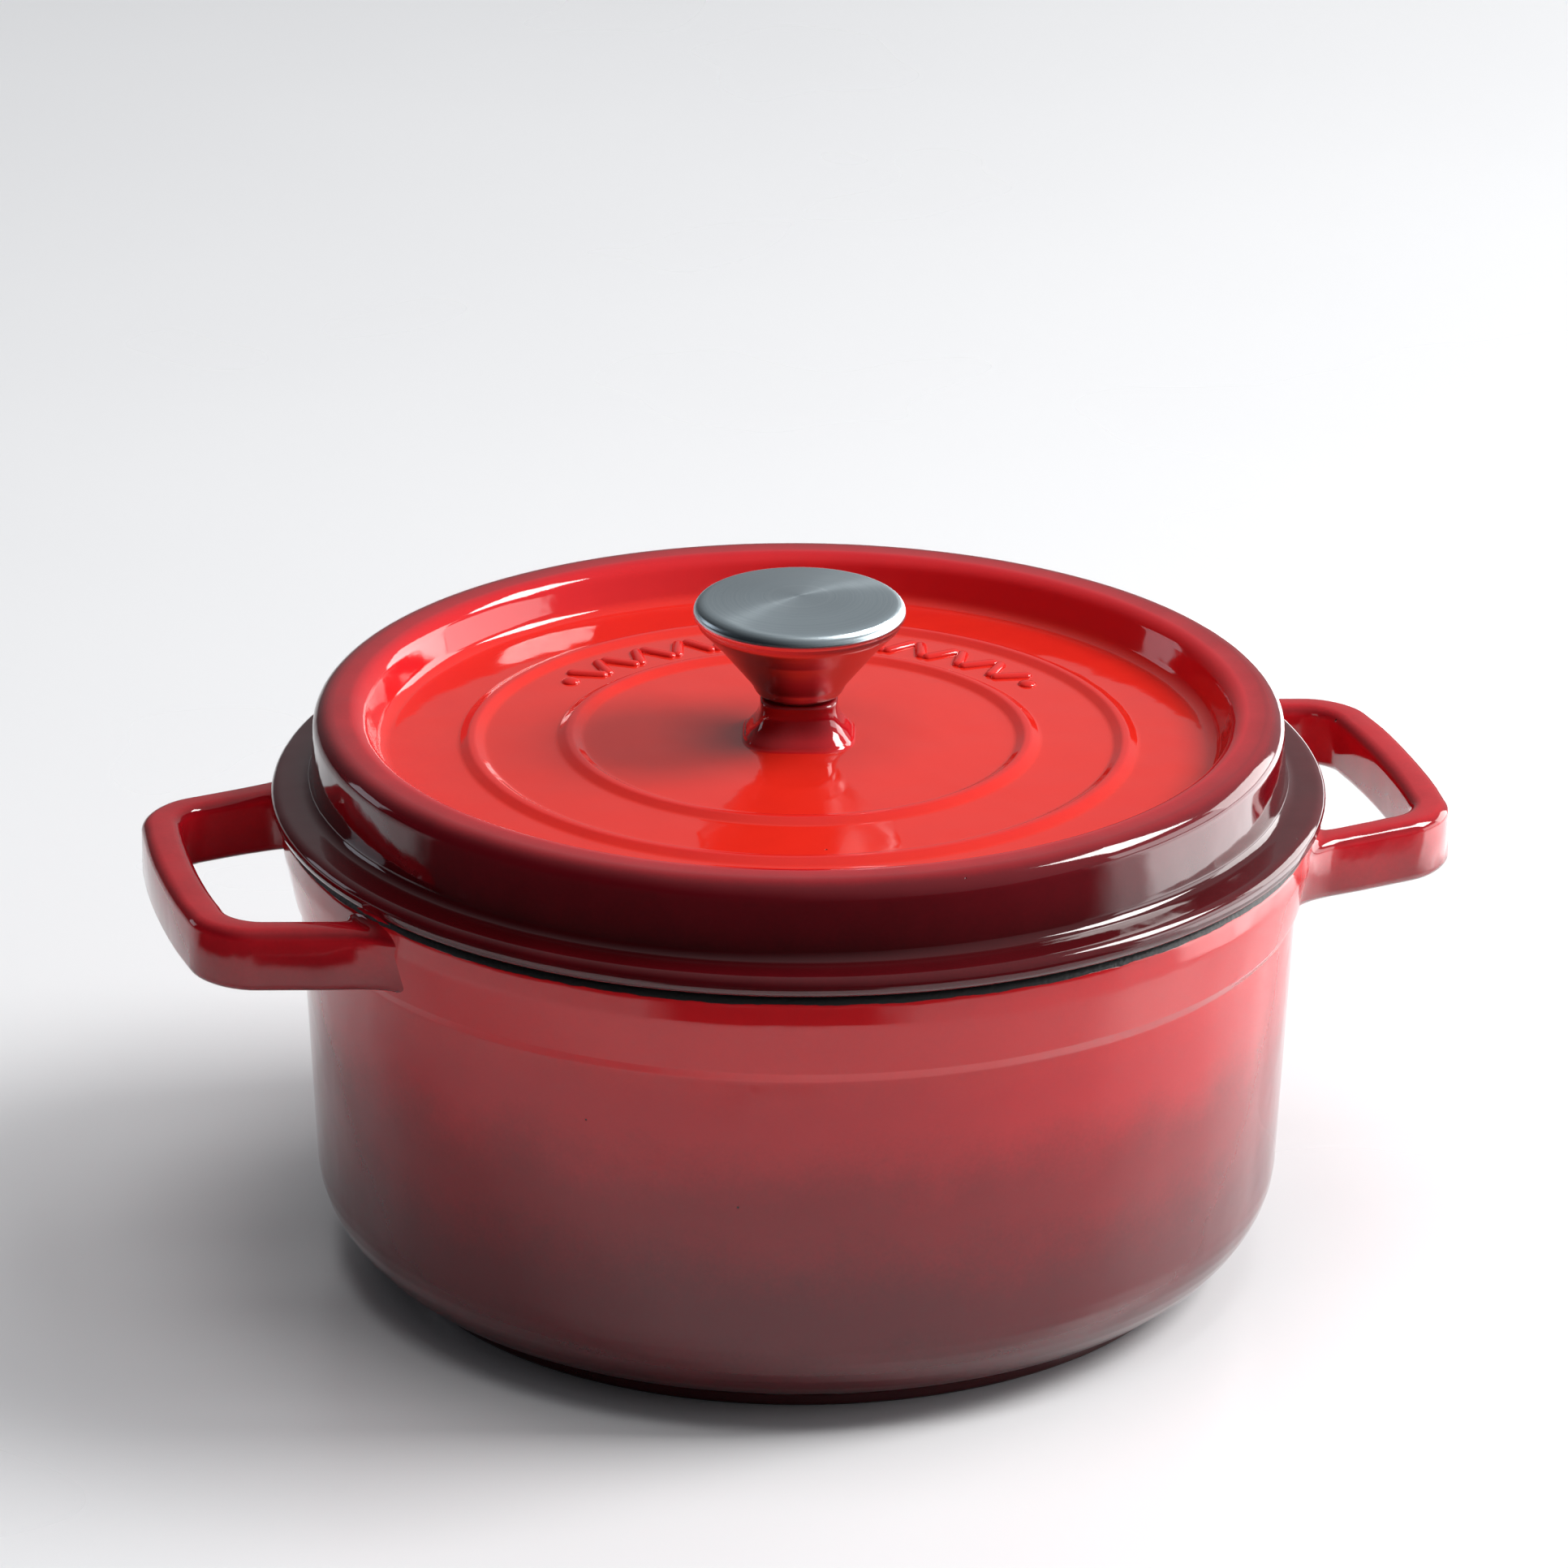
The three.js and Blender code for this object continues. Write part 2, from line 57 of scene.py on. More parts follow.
SUPPORT = 0.7
FACET = 3.5
WELD = 1e-3
CREASE = math.radians(38)
FAR_INSIDE = 12.0
MATTE_ROUGHNESS = 0.46
MATTE_BLACK = (0.0105, 0.0108, 0.0112, 1.0)

Colour = tuple[float, float, float, float]

log = logging.getLogger("casserole")


class Body(Enum):
    """The moving bodies that a piece can ride on."""

    POT = "pot"
    LID = "lid"
    KNOB = "knob"
    SCREW = "screw"


class Slot(Enum):
    """The finish slots of the record."""

    POT_ENAMEL = "pot_enamel"
    LID_ENAMEL = "lid_enamel"
    KNOB_STEEL = "knob_steel"
    CAP_STEEL = "cap_steel"
    FASTENER_STEEL = "fastener_steel"


# ---------------------------------------------------------------- shader helpers


class NodeSheet:
    """A short hand for placing and joining shader nodes on one tree."""

    def __init__(self, tree: bpy.types.NodeTree) -> None:
        """Keeps the tree that the nodes go on.

        Args:
            tree: the material's, world's or group's node tree.
        """
        self.tree = tree

    def add(self, kind: str, **settings: object) -> bpy.types.Node:
        """Places a node.

        Args:
            kind: the node's type name without its ShaderNode prefix.
            settings: properties of the node to set.

        Returns:
            The new node.
        """
        node = self.tree.nodes.new("ShaderNode" + kind)
        for name, value in settings.items():
            setattr(node, name, value)
        return node

    def feed(self, target: bpy.types.NodeSocket, source: object) -> None:
        """Joins an output to an input, or sets the input to a plain value.

        Args:
            target: the input socket.
            source: an output socket, a number or a tuple.
        """
        if isinstance(source, bpy.types.NodeSocket):
            self.tree.links.new(source, target)
        else:
            target.default_value = source

    def math(self, operation: str, *terms: object, clamp: bool = False) -> bpy.types.NodeSocket:
        """Places a Math node.

        Args:
            operation: the node's operation.
            terms: its inputs in order.
            clamp: whether its result is held between 0 and 1.

        Returns:
            The result socket.
        """
        node = self.add("Math", operation=operation, use_clamp=clamp)
        for socket, term in zip(node.inputs, terms):
            self.feed(socket, term)
        return node.outputs[0]

    def spread(
        self, value: object, low: float, high: float, to_low: float, to_high: float
    ) -> bpy.types.NodeSocket:
        """Maps a range of a value smoothly onto another range.

        Args:
            value: the value to map.
            low: where the incoming range starts.
            high: where the incoming range ends.
            to_low: the result at low.
            to_high: the result at high.

        Returns:
            The mapped value.
        """
        node = self.add("MapRange", interpolation_type="SMOOTHSTEP")
        for socket, term in zip(node.inputs, (value, low, high, to_low, to_high)):
            self.feed(socket, term)
        return node.outputs[0]

    def blend(self, share: object, first: object, second: object) -> bpy.types.NodeSocket:
        """Mixes two values.

        Args:
            share: 0 gives the first value, 1 the second.
            first: the first value.
            second: the second value.

        Returns:
            The mixed value.
        """
        node = self.add("Mix", data_type="FLOAT")
        for index, term in ((0, share), (2, first), (3, second)):
            self.feed(node.inputs[index], term)
        return node.outputs[0]

    def tint(self, share: object, first: object, second: object, mode: str = "MIX") -> bpy.types.NodeSocket:
        """Mixes two colours.

        Args:
            share: 0 gives the first colour, 1 the mix in full.
            first: the first colour.
            second: the second colour.
            mode: how they are mixed.

        Returns:
            The mixed colour.
        """
        node = self.add("Mix", data_type="RGBA", blend_type=mode)
        for index, term in ((0, share), (6, first), (7, second)):
            self.feed(node.inputs[index], term)
        return node.outputs[2]

    def noise(
        self, vector: object, scale: object, detail: float = 2.0, rough: float = 0.5
    ) -> bpy.types.NodeSocket:
        """Places a noise pattern.

        Args:
            vector: the coordinates it is read at.
            scale: its frequency per metre.
            detail: its number of octaves.
            rough: the strength of its finer octaves.

        Returns:
            The pattern, around 0.5.
        """
        node = self.add("TexNoise")
        for name, term in (("Vector", vector), ("Scale", scale), ("Detail", detail), ("Roughness", rough)):
            self.feed(node.inputs[name], term)
        return node.outputs[0]


def node_group(
    name: str, inputs: dict[str, str], outputs: dict[str, str]
) -> tuple[NodeSheet, bpy.types.Node, bpy.types.Node]:
    """Starts a shader node group with named sockets.

    Args:
        name: the group's name.
        inputs: each input's name and socket type.
        outputs: each output's name and socket type.

    Returns:
        The sheet of the group, its input node and its output node.
    """
    tree = bpy.data.node_groups.new(name, "ShaderNodeTree")
    for socket, kind in inputs.items():
        tree.interface.new_socket(name=socket, in_out="INPUT", socket_type="NodeSocket" + kind)
    for socket, kind in outputs.items():
        tree.interface.new_socket(name=socket, in_out="OUTPUT", socket_type="NodeSocket" + kind)
    return NodeSheet(tree), tree.nodes.new("NodeGroupInput"), tree.nodes.new("NodeGroupOutput")


class SurfaceEffects:
    """The effects that several finishes share, each one node group that is built once."""

    RAMP = (
        (0.0, (0.68, 0.020, 0.010)),
        (0.2, (0.60, 0.010, 0.014)),
        (0.4, (0.50, 0.007, 0.014)),
        (0.6, (0.26, 0.004, 0.009)),
        (0.8, (0.125, 0.003, 0.007)),
        (1.0, (0.055, 0.0015, 0.003)),
    )

    def __init__(self) -> None:
        """Builds every group."""
        self.fired_colour = self._fired_colour()
        self.glaze_relief = self._glaze_relief()
        self.cast_grain = self._cast_grain()
        self.turned_grain = self._turned_grain()

    def _fired_colour(self) -> bpy.types.NodeTree:
        """Builds the enamel's run from bright red to burgundy, softly mottled.

        Returns:
            The group.
        """
        sheet, inlet, outlet = node_group(
            "fired_colour", {"Vector": "Vector", "Shade": "Float", "Mottle": "Float"}, {"Colour": "Color"}
        )
        place = inlet.outputs["Vector"]
        cloud = sheet.math("SUBTRACT", sheet.noise(place, 55.0, 4.0, 0.6), 0.5)
        speck = sheet.math("SUBTRACT", sheet.noise(place, 900.0, 2.0, 0.7), 0.5)
        drift = sheet.math("MULTIPLY_ADD", speck, 0.45, cloud)
        shade = sheet.math("MULTIPLY_ADD", drift, inlet.outputs["Mottle"], inlet.outputs["Shade"])
        ramp = sheet.add("ValToRGB")
        ramp.color_ramp.interpolation = "EASE"
        stops = ramp.color_ramp.elements
        for position, colour in self.RAMP[1:-1]:
            stops.new(position)
        for stop, (position, colour) in zip(stops, self.RAMP):
            stop.position = position
            stop.color = (*colour, 1.0)
        sheet.feed(ramp.inputs[0], shade)
        sheet.feed(outlet.inputs["Colour"], ramp.outputs[0])
        return sheet.tree

    def _glaze_relief(self) -> bpy.types.NodeTree:
        """Builds the slow waves of fired glass and its few pinholes.

        Returns:
            The group.
        """
        sheet, inlet, outlet = node_group(
            "glaze_relief", {"Vector": "Vector", "Waves": "Float"}, {"Height": "Float", "Pinholes": "Float"}
        )
        place = inlet.outputs["Vector"]
        waves = inlet.outputs["Waves"]
        broad = sheet.noise(place, waves, 1.0, 0.4)
        fine = sheet.noise(place, sheet.math("MULTIPLY", waves, 3.3), 1.0, 0.4)
        cells = sheet.add("TexVoronoi", feature="F1")
        sheet.feed(cells.inputs["Vector"], place)
        sheet.feed(cells.inputs["Scale"], 95.0)
        pick = sheet.add("SeparateColor")
        sheet.feed(pick.inputs[0], cells.outputs["Color"])
        few = sheet.math("GREATER_THAN", pick.outputs[0], 0.86)
        dot = sheet.spread(cells.outputs["Distance"], 0.018, 0.034, 1.0, 0.0)
        pinholes = sheet.math("MULTIPLY", few, dot)
        height = sheet.math("MULTIPLY_ADD", fine, 0.12, broad)
        sheet.feed(outlet.inputs["Height"], sheet.math("MULTIPLY_ADD", pinholes, -0.6, height))
        sheet.feed(outlet.inputs["Pinholes"], pinholes)
        return sheet.tree

    def _cast_grain(self) -> bpy.types.NodeTree:
        """Builds the fine pebbled grain of matte enamel on cast iron.

        Returns:
            The group.
        """
        sheet, inlet, outlet = node_group("cast_grain", {"Vector": "Vector"}, {"Height": "Float"})
        place = inlet.outputs["Vector"]
        pebbles = sheet.add("TexVoronoi", feature="SMOOTH_F1")
        sheet.feed(pebbles.inputs["Vector"], place)
        sheet.feed(pebbles.inputs["Scale"], 1100.0)
        swell = sheet.noise(place, 260.0, 3.0, 0.6)
        height = sheet.math("MULTIPLY_ADD", pebbles.outputs["Distance"], 0.6, swell)
        sheet.feed(outlet.inputs["Height"], height)
        return sheet.tree

    def _turned_grain(self) -> bpy.types.NodeTree:
        """Builds the rings that a lathe's abrasive leaves, about the dish's upright axis.

        Returns:
            The group.
        """
        sheet, inlet, outlet = node_group(
            "turned_grain", {"Vector": "Vector", "Rings": "Float"}, {"Grain": "Float", "Smear": "Float"}
        )
        apart = sheet.add("SeparateXYZ")
        sheet.feed(apart.inputs[0], inlet.outputs["Vector"])
        east = sheet.math("POWER", apart.outputs[0], 2.0)
        north = sheet.math("POWER", apart.outputs[1], 2.0)
        radius = sheet.math("SQRT", sheet.math("ADD", east, north))
        swept = sheet.add("CombineXYZ")
        sheet.feed(swept.inputs[0], radius)
        sheet.feed(swept.inputs[1], apart.outputs[2])
        rings = sheet.noise(swept.outputs[0], inlet.outputs["Rings"], 3.0, 0.75)
        smear = sheet.noise(inlet.outputs["Vector"], 70.0, 3.0, 0.6)
        sheet.feed(outlet.inputs["Grain"], rings)
        sheet.feed(outlet.inputs["Smear"], smear)
        return sheet.tree

    @staticmethod
    def place(sheet: NodeSheet, tree: bpy.types.NodeTree, **values: object) -> bpy.types.Node:
        """Puts one of the groups into a material.

        Args:
            sheet: the material's sheet.
            tree: the group.
            values: what each input takes.

        Returns:
            The group's node.
        """
        node = sheet.add("Group", node_tree=tree)
        for name, value in values.items():
            sheet.feed(node.inputs[name], value)
        return node


# ---------------------------------------------------------------- finishes


def start_material(name: str) -> tuple[bpy.types.Material, NodeSheet, bpy.types.Node, bpy.types.NodeSocket]:
    """Starts a material that holds one Principled shader.

    Args:
        name: the material's name.

    Returns:
        The material, its sheet, its shader and the object coordinates.
    """
    material = bpy.data.materials.new(name)
    material.use_nodes = True
    sheet = NodeSheet(material.node_tree)
    shader = material.node_tree.nodes["Principled BSDF"]
    place = sheet.add("TexCoord").outputs["Object"]
    return material, sheet, shader, place


def emboss(sheet: NodeSheet, shader: bpy.types.Node, height: bpy.types.NodeSocket, depth: float) -> None:
    """Turns a height pattern into the shader's normal.

    Args:
        sheet: the material's sheet.
        shader: the shader that gets the normal.
        height: the height pattern.
        depth: what a height of 1 stands for, in millimetres.
    """
    bump = sheet.add("Bump")
    bump.inputs["Strength"].default_value = 1.0
    bump.inputs["Distance"].default_value = depth * MM
    sheet.feed(bump.inputs["Height"], height)
    sheet.feed(shader.inputs["Normal"], bump.outputs[0])


@dataclass(frozen=True)
class FiredEnamel:
    """Glossy red enamel that darkens with the shade attribute, and matte black beyond its edge.

    The mesh carries two attributes: shade runs from 0, bright, to 1, burgundy, and black is the distance
    past the red enamel's edge in millimetres.
    """

    name: str
    waves: float = 62.0
    wave_depth: float = 0.34
    mottle: float = 0.16
    gloss: float = 0.045
    smudge: float = 0.05
    coat: float = 0.15
    edge_wander: float = 2.2
    edge_blur: float = 0.22
    wander_scale: float = 120.0
    smear_scale: float = 32.0
    coat_roughness: float = 0.03
    glass_index: float = 1.52
    pebble_share: float = 0.55
    pinhole_colour: Colour = (0.02, 0.004, 0.005, 1.0)

    def material(self, effects: SurfaceEffects) -> bpy.types.Material:
        """Builds the material.

        Args:
            effects: the shared node groups.

        Returns:
            The material.
        """
        material, sheet, shader, place = start_material(self.name)
        shade = sheet.add("Attribute", attribute_name="shade").outputs["Fac"]
        past_edge = sheet.add("Attribute", attribute_name="black").outputs["Fac"]
        wander = sheet.math("SUBTRACT", sheet.noise(place, self.wander_scale, 3.0, 0.6), 0.5)
        reach = sheet.math("MULTIPLY_ADD", wander, self.edge_wander, past_edge)
        matte = sheet.spread(reach, -self.edge_blur, self.edge_blur, 0.0, 1.0)

        colour = effects.place(sheet, effects.fired_colour, Vector=place, Shade=shade, Mottle=self.mottle)
        relief = effects.place(sheet, effects.glaze_relief, Vector=place, Waves=self.waves)
        grain = effects.place(sheet, effects.cast_grain, Vector=place)
        pitted = sheet.tint(relief.outputs["Pinholes"], colour.outputs[0], self.pinhole_colour)
        sheet.feed(shader.inputs["Base Color"], sheet.tint(matte, pitted, MATTE_BLACK))

        smears = sheet.noise(place, self.smear_scale, 4.0, 0.6)
        smear = sheet.math("MULTIPLY_ADD", smears, self.smudge, self.gloss)
        sheet.feed(shader.inputs["Roughness"], sheet.blend(matte, smear, MATTE_ROUGHNESS))
        sheet.feed(shader.inputs["Coat Weight"], sheet.blend(matte, self.coat, 0.0))
        shader.inputs["Coat Roughness"].default_value = self.coat_roughness
        shader.inputs["IOR"].default_value = self.glass_index
        pebbled = sheet.math("MULTIPLY", grain.outputs[0], self.pebble_share)
        emboss(sheet, shader, sheet.blend(matte, relief.outputs["Height"], pebbled), self.wave_depth)
        return material


@dataclass(frozen=True)
class MatteEnamel:
    """Matte black enamel with the grain of the casting under it."""

    name: str
    wear_scale: float = 45.0
    wear_paling: float = 2.2
    wear_spread: float = 0.14
    grain_depth: float = 0.09

    def material(self, effects: SurfaceEffects) -> bpy.types.Material:
        """Builds the material.

        Args:
            effects: the shared node groups.

        Returns:
            The material.
        """
        material, sheet, shader, place = start_material(self.name)
        grain = effects.place(sheet, effects.cast_grain, Vector=place)
        worn = sheet.noise(place, self.wear_scale, 4.0, 0.6)
        pale = tuple(self.wear_paling * part for part in MATTE_BLACK[:3]) + (1.0,)
        patches = sheet.spread(worn, 0.4, 0.8, 0.0, 1.0)
        sheet.feed(shader.inputs["Base Color"], sheet.tint(patches, MATTE_BLACK, pale))
        smoothest = MATTE_ROUGHNESS - self.wear_spread / 2
        sheet.feed(shader.inputs["Roughness"], sheet.math("MULTIPLY_ADD", worn, self.wear_spread, smoothest))
        emboss(sheet, shader, grain.outputs[0], self.grain_depth)
        return material


@dataclass(frozen=True)
class TurnedSteel:
    """Steel finished in a lathe, so that its highlights spread across the rings."""

    name: str
    dark: Colour
    light: Colour
    rings: float = 5200.0
    roughness: float = 0.2
    spread: float = 0.05
    anisotropy: float = 0.8
    grain_depth: float = 0.0009

    def material(self, effects: SurfaceEffects) -> bpy.types.Material:
        """Builds the material.

        Args:
            effects: the shared node groups.

        Returns:
            The material.
        """
        material, sheet, shader, place = start_material(self.name)
        grain = effects.place(sheet, effects.turned_grain, Vector=place, Rings=self.rings)
        streak = sheet.spread(grain.outputs["Grain"], 0.25, 0.75, 0.0, 1.0)
        sheet.feed(shader.inputs["Base Color"], sheet.tint(streak, self.dark, self.light))
        worn = sheet.math("MULTIPLY_ADD", grain.outputs["Smear"], 0.5, streak)
        sheet.feed(shader.inputs["Roughness"], sheet.math("MULTIPLY_ADD", worn, self.spread, self.roughness))
        shader.inputs["Metallic"].default_value = 1.0
        shader.inputs["Anisotropic"].default_value = self.anisotropy
        around = sheet.add("Tangent", direction_type="RADIAL", axis="Z")
        sheet.feed(shader.inputs["Tangent"], around.outputs[0])
        emboss(sheet, shader, grain.outputs["Grain"], self.grain_depth)
        return material


@dataclass(frozen=True)
class PlatedSteel:
    """Zinc-plated steel, a little cloudy."""

    name: str
    cool: Colour = (0.52, 0.55, 0.58, 1.0)
    warm: Colour = (0.66, 0.64, 0.58, 1.0)
    roughness: float = 0.26
    spread: float = 0.14
    cloud_scale: float = 420.0
    cloud_depth: float = 0.012

    def material(self, effects: SurfaceEffects) -> bpy.types.Material:
        """Builds the material.

        Args:
            effects: the shared node groups.

        Returns:
            The material.
        """
        material, sheet, shader, place = start_material(self.name)
        cloud = sheet.noise(place, self.cloud_scale, 4.0, 0.65)
        mask = sheet.spread(cloud, 0.35, 0.65, 0.0, 1.0)
        sheet.feed(shader.inputs["Base Color"], sheet.tint(mask, self.cool, self.warm))
        sheet.feed(shader.inputs["Roughness"], sheet.math("MULTIPLY_ADD", mask, self.spread, self.roughness))
        shader.inputs["Metallic"].default_value = 1.0
        emboss(sheet, shader, cloud, self.cloud_depth)
        return material


@dataclass(frozen=True)
class Tabletop:
    """The pale glossy top that the dish stands on."""

    name: str = "pale_tabletop"
    dull: Colour = (0.80, 0.81, 0.83, 1.0)
    clear: Colour = (0.84, 0.85, 0.865, 1.0)
    roughness: float = 0.24
    spread: float = 0.08
    haze_scale: float = 3.0

    def material(self) -> bpy.types.Material:
        """Builds the material.

        Returns:
            The material.
        """
        material, sheet, shader, place = start_material(self.name)
        haze = sheet.noise(place, self.haze_scale, 3.0, 0.5)
        sheet.feed(shader.inputs["Base Color"], sheet.tint(haze, self.dull, self.clear))
        sheet.feed(shader.inputs["Roughness"], sheet.math("MULTIPLY_ADD", haze, self.spread, self.roughness))
        return material


# ---------------------------------------------------------------- mesh helpers


@dataclass(frozen=True)
class Corner:
    """A corner of an outline.

    Attributes:
        reach: the distance from the upright axis, or along X on a plan.
        rise: the height, or the distance along Y on a plan.
        round: the radius of the round on the corner.
        shade: how far the colour is darkened there: mostly the enamel's own tone, and on the knob's post partly
            painted shade.
        black: how far past the red enamel's edge it is, below 0 on the red side.
    """

    reach: float
    rise: float
    round: float = 0.0
    shade: float = 0.0
    black: float = -FAR_INSIDE


def round_corner(bm: BMesh, vert: BMVert, radius: float, segments: int = 0) -> None:
    """Rounds one corner of a wire to an arc.

    Args:
        bm: the mesh that holds the wire.
        vert: the corner, which has two edges.
        radius: the arc's radius.
        segments: the arc's number of stretches, or 0 to follow its turn.
    """
    arms = [edge.other_vert(vert).co - vert.co for edge in vert.link_edges]
    turn = math.pi - arms[0].angle(arms[1])
    bmesh.ops.bevel(
        bm,
        geom=[vert],
        offset=radius * math.tan(turn / 2),
        offset_type="OFFSET",
        segments=segments or max(3, math.ceil(turn / ARC_STEP), math.ceil(turn * radius / FACET)),
        profile=0.5,
        affect="VERTICES",
        material=-1,
    )


def lay_wire(bm: BMesh, corners: tuple[Corner, ...], closed: bool, segments: int = 0) -> None:
    """Draws an outline in the XZ plane and rounds its corners.

    Args:
        bm: the mesh to draw in.
        corners: the outline's corners in order.
        closed: whether the last corner joins the first.
        segments: the stretches in each round, or 0 to follow its turn.
    """
    verts = [bm.verts.new((corner.reach, 0.0, corner.rise)) for corner in corners]
    for first, second in zip(verts, verts[1:]):
        bm.edges.new((first, second))
    if closed:
        bm.edges.new((verts[-1], verts[0]))
    for corner, vert in zip(corners, verts):
        if corner.round > 0:
            round_corner(bm, vert, corner.round, segments)


def divide_wire(bm: BMesh) -> None:
    """Divides long stretches, with a short one beside each round to hold its shading.

    Args:
        bm: the mesh that holds the wire.
    """
    for edge in list(bm.edges):
        length = edge.calc_length()
        if length < 3 * SUPPORT:
            continue
        first, second = edge.verts
        bmesh.utils.edge_split(edge, first, SUPPORT / length)
        bmesh.utils.edge_split(edge, second, SUPPORT / (length - SUPPORT))
        cuts = math.ceil(edge.calc_length() / FACET) - 1
        if cuts > 0:
            bmesh.ops.subdivide_edges(bm, edges=[edge], cuts=cuts)


def spin_up(
    bm: BMesh, parts: list[object], angle: float, steps: int, climb: float = 0.0, joined: bool = False
) -> None:
    """Spins parts of a mesh about the upright axis.

    Args:
        bm: the mesh.
        parts: its vertices, edges and faces to spin.
        angle: the whole angle.
        steps: the number of steps in it.
        climb: how far each step rises.
        joined: whether the end is joined to the start.
    """
    bmesh.ops.spin(
        bm,
        geom=parts,
        cent=(0, 0, 0),
        axis=(0, 0, 1),
        dvec=(0, 0, climb),
        angle=angle,
        steps=steps,
        use_merge=joined,
        use_duplicate=False,
    )


def turn_wire(bm: BMesh, steps: int) -> None:
    """Spins the wire a full turn about the upright axis and makes a clean shell of it.

    Args:
        bm: the mesh that holds the wire.
        steps: the number of steps in the turn.
    """
    spin_up(bm, bm.verts[:] + bm.edges[:], FULL_TURN, steps, joined=True)
    bmesh.ops.remove_doubles(bm, verts=bm.verts[:], dist=WELD)
    bmesh.ops.recalc_face_normals(bm, faces=bm.faces[:])


def paint(bm: BMesh, tone: Callable[[Vector], tuple[float, float]]) -> None:
    """Writes the shade and black attributes on every vertex.

    Args:
        bm: the mesh to paint.
        tone: gives the two values at a place.
    """
    shade = bm.verts.layers.float.new("shade")
    black = bm.verts.layers.float.new("black")
    for vert in bm.verts:
        vert[shade], vert[black] = tone(vert.co)


def wire_order(bm: BMesh, corners: tuple[Corner, ...]) -> list[BMVert]:
    """Lists a wire's vertices in the order of its outline.

    Args:
        bm: the mesh that holds the wire, whose first corner has no round.
        corners: the outline's corners.

    Returns:
        The vertices, from the first corner on.
    """
    first, second = (Vector((corner.reach, 0.0, corner.rise)) for corner in corners[:2])
    start = min(bm.verts, key=lambda vert: (vert.co - first).length)
    edge = min(start.link_edges, key=lambda near: (near.other_vert(start).co - first).angle(second - first))
    order = [start]
    while edge and edge.other_vert(order[-1]) is not start:
        order.append(edge.other_vert(order[-1]))
        edge = next((other for other in order[-1].link_edges if other is not edge), None)
    return order


def paint_wire(bm: BMesh, corners: tuple[Corner, ...]) -> None:
    """Writes shade and black along a wire, evenly between the values of its corners.

    Args:
        bm: the mesh that holds the wire.
        corners: the outline's corners.
    """
    shade = bm.verts.layers.float.new("shade")
    black = bm.verts.layers.float.new("black")
    order = wire_order(bm, corners)
    marks = [0]
    for corner in corners[1:]:
        place = Vector((corner.reach, 0.0, corner.rise))
        rest = range(marks[-1], len(order))
        marks.append(min(rest, key=lambda index: (order[index].co - place).length))
    if marks[-1] < len(order) - 1:
        marks.append(len(order) - 1)
        corners = (*corners, corners[-1])
    for start, end, first, second in zip(marks, marks[1:], corners, corners[1:]):
        for index in range(start, end + 1):
            share = (index - start) / max(1, end - start)
            order[index][shade] = first.shade + share * (second.shade - first.shade)
            order[index][black] = first.black + share * (second.black - first.black)


def turned_shell(corners: tuple[Corner, ...], steps: int, closed: bool = False) -> BMesh:
    """Makes a painted shell of revolution from an outline.

    Args:
        corners: the outline's corners in order.
        steps: the number of steps in the turn.
        closed: whether the outline is a closed ring, clear of the axis.

    Returns:
        The shell in millimetres.
    """
    bm = bmesh.new()
    lay_wire(bm, corners, closed)
    divide_wire(bm)
    paint_wire(bm, corners)
    turn_wire(bm, steps)
    return bm


def walk_wire(bm: BMesh) -> list[Vector]:
    """Lists the points of an open wire from its first end.

    Args:
        bm: the mesh that holds the wire.

    Returns:
        The points in order.
    """
    start = min((vert for vert in bm.verts if len(vert.link_edges) == 1), key=lambda vert: vert.co.z)
    points, edge, vert = [start.co.copy()], start.link_edges[0], start
    while edge:
        vert = edge.other_vert(vert)
        points.append(vert.co.copy())
        edge = next((other for other in vert.link_edges if other is not edge), None)
    return points


def take_mesh(name: str, bm: BMesh) -> bpy.types.Mesh:
    """Turns a working mesh into a stored one, and frees the working one.

    Args:
        name: the stored mesh's name.
        bm: the working mesh.

    Returns:
        The stored mesh.
    """
    mesh = bpy.data.meshes.new(name)
    bm.to_mesh(mesh)
    bm.free()
    return mesh


def place_object(name: str, data: bpy.types.ID) -> bpy.types.Object:
    """Stands a mesh, a light or a camera in the scene.

    Args:
        name: the object's name.
        data: what it holds.

    Returns:
        The object.
    """
    thing = bpy.data.objects.new(name, data)
    bpy.context.scene.collection.objects.link(thing)
    return thing


def merge_mesh(target: BMesh, source: BMesh) -> None:
    """Adds a copy of one mesh to another, and frees the copied one.

    Args:
        target: the mesh that grows.
        source: the mesh that is added.
    """
    carrier = take_mesh("carrier", source)
    target.from_mesh(carrier)
    bpy.data.meshes.remove(carrier)


def cut_away(block: BMesh, cutter: BMesh) -> BMesh:
    """Cuts one closed mesh out of another.

    Args:
        block: the mesh that is cut.
        cutter: the mesh that is taken away.

    Returns:
        The cut mesh.
    """
    objects = [place_object("cutting", take_mesh("cutting", bm)) for bm in (block, cutter)]
    modifier = objects[0].modifiers.new("cut", "BOOLEAN")
    modifier.operation = "DIFFERENCE"
    modifier.solver = "EXACT"
    modifier.object = objects[1]
    result = bmesh.new()
    result.from_object(objects[0], bpy.context.evaluated_depsgraph_get())
    for thing in objects:
        mesh = thing.data
        bpy.data.objects.remove(thing)
        bpy.data.meshes.remove(mesh)
    return result


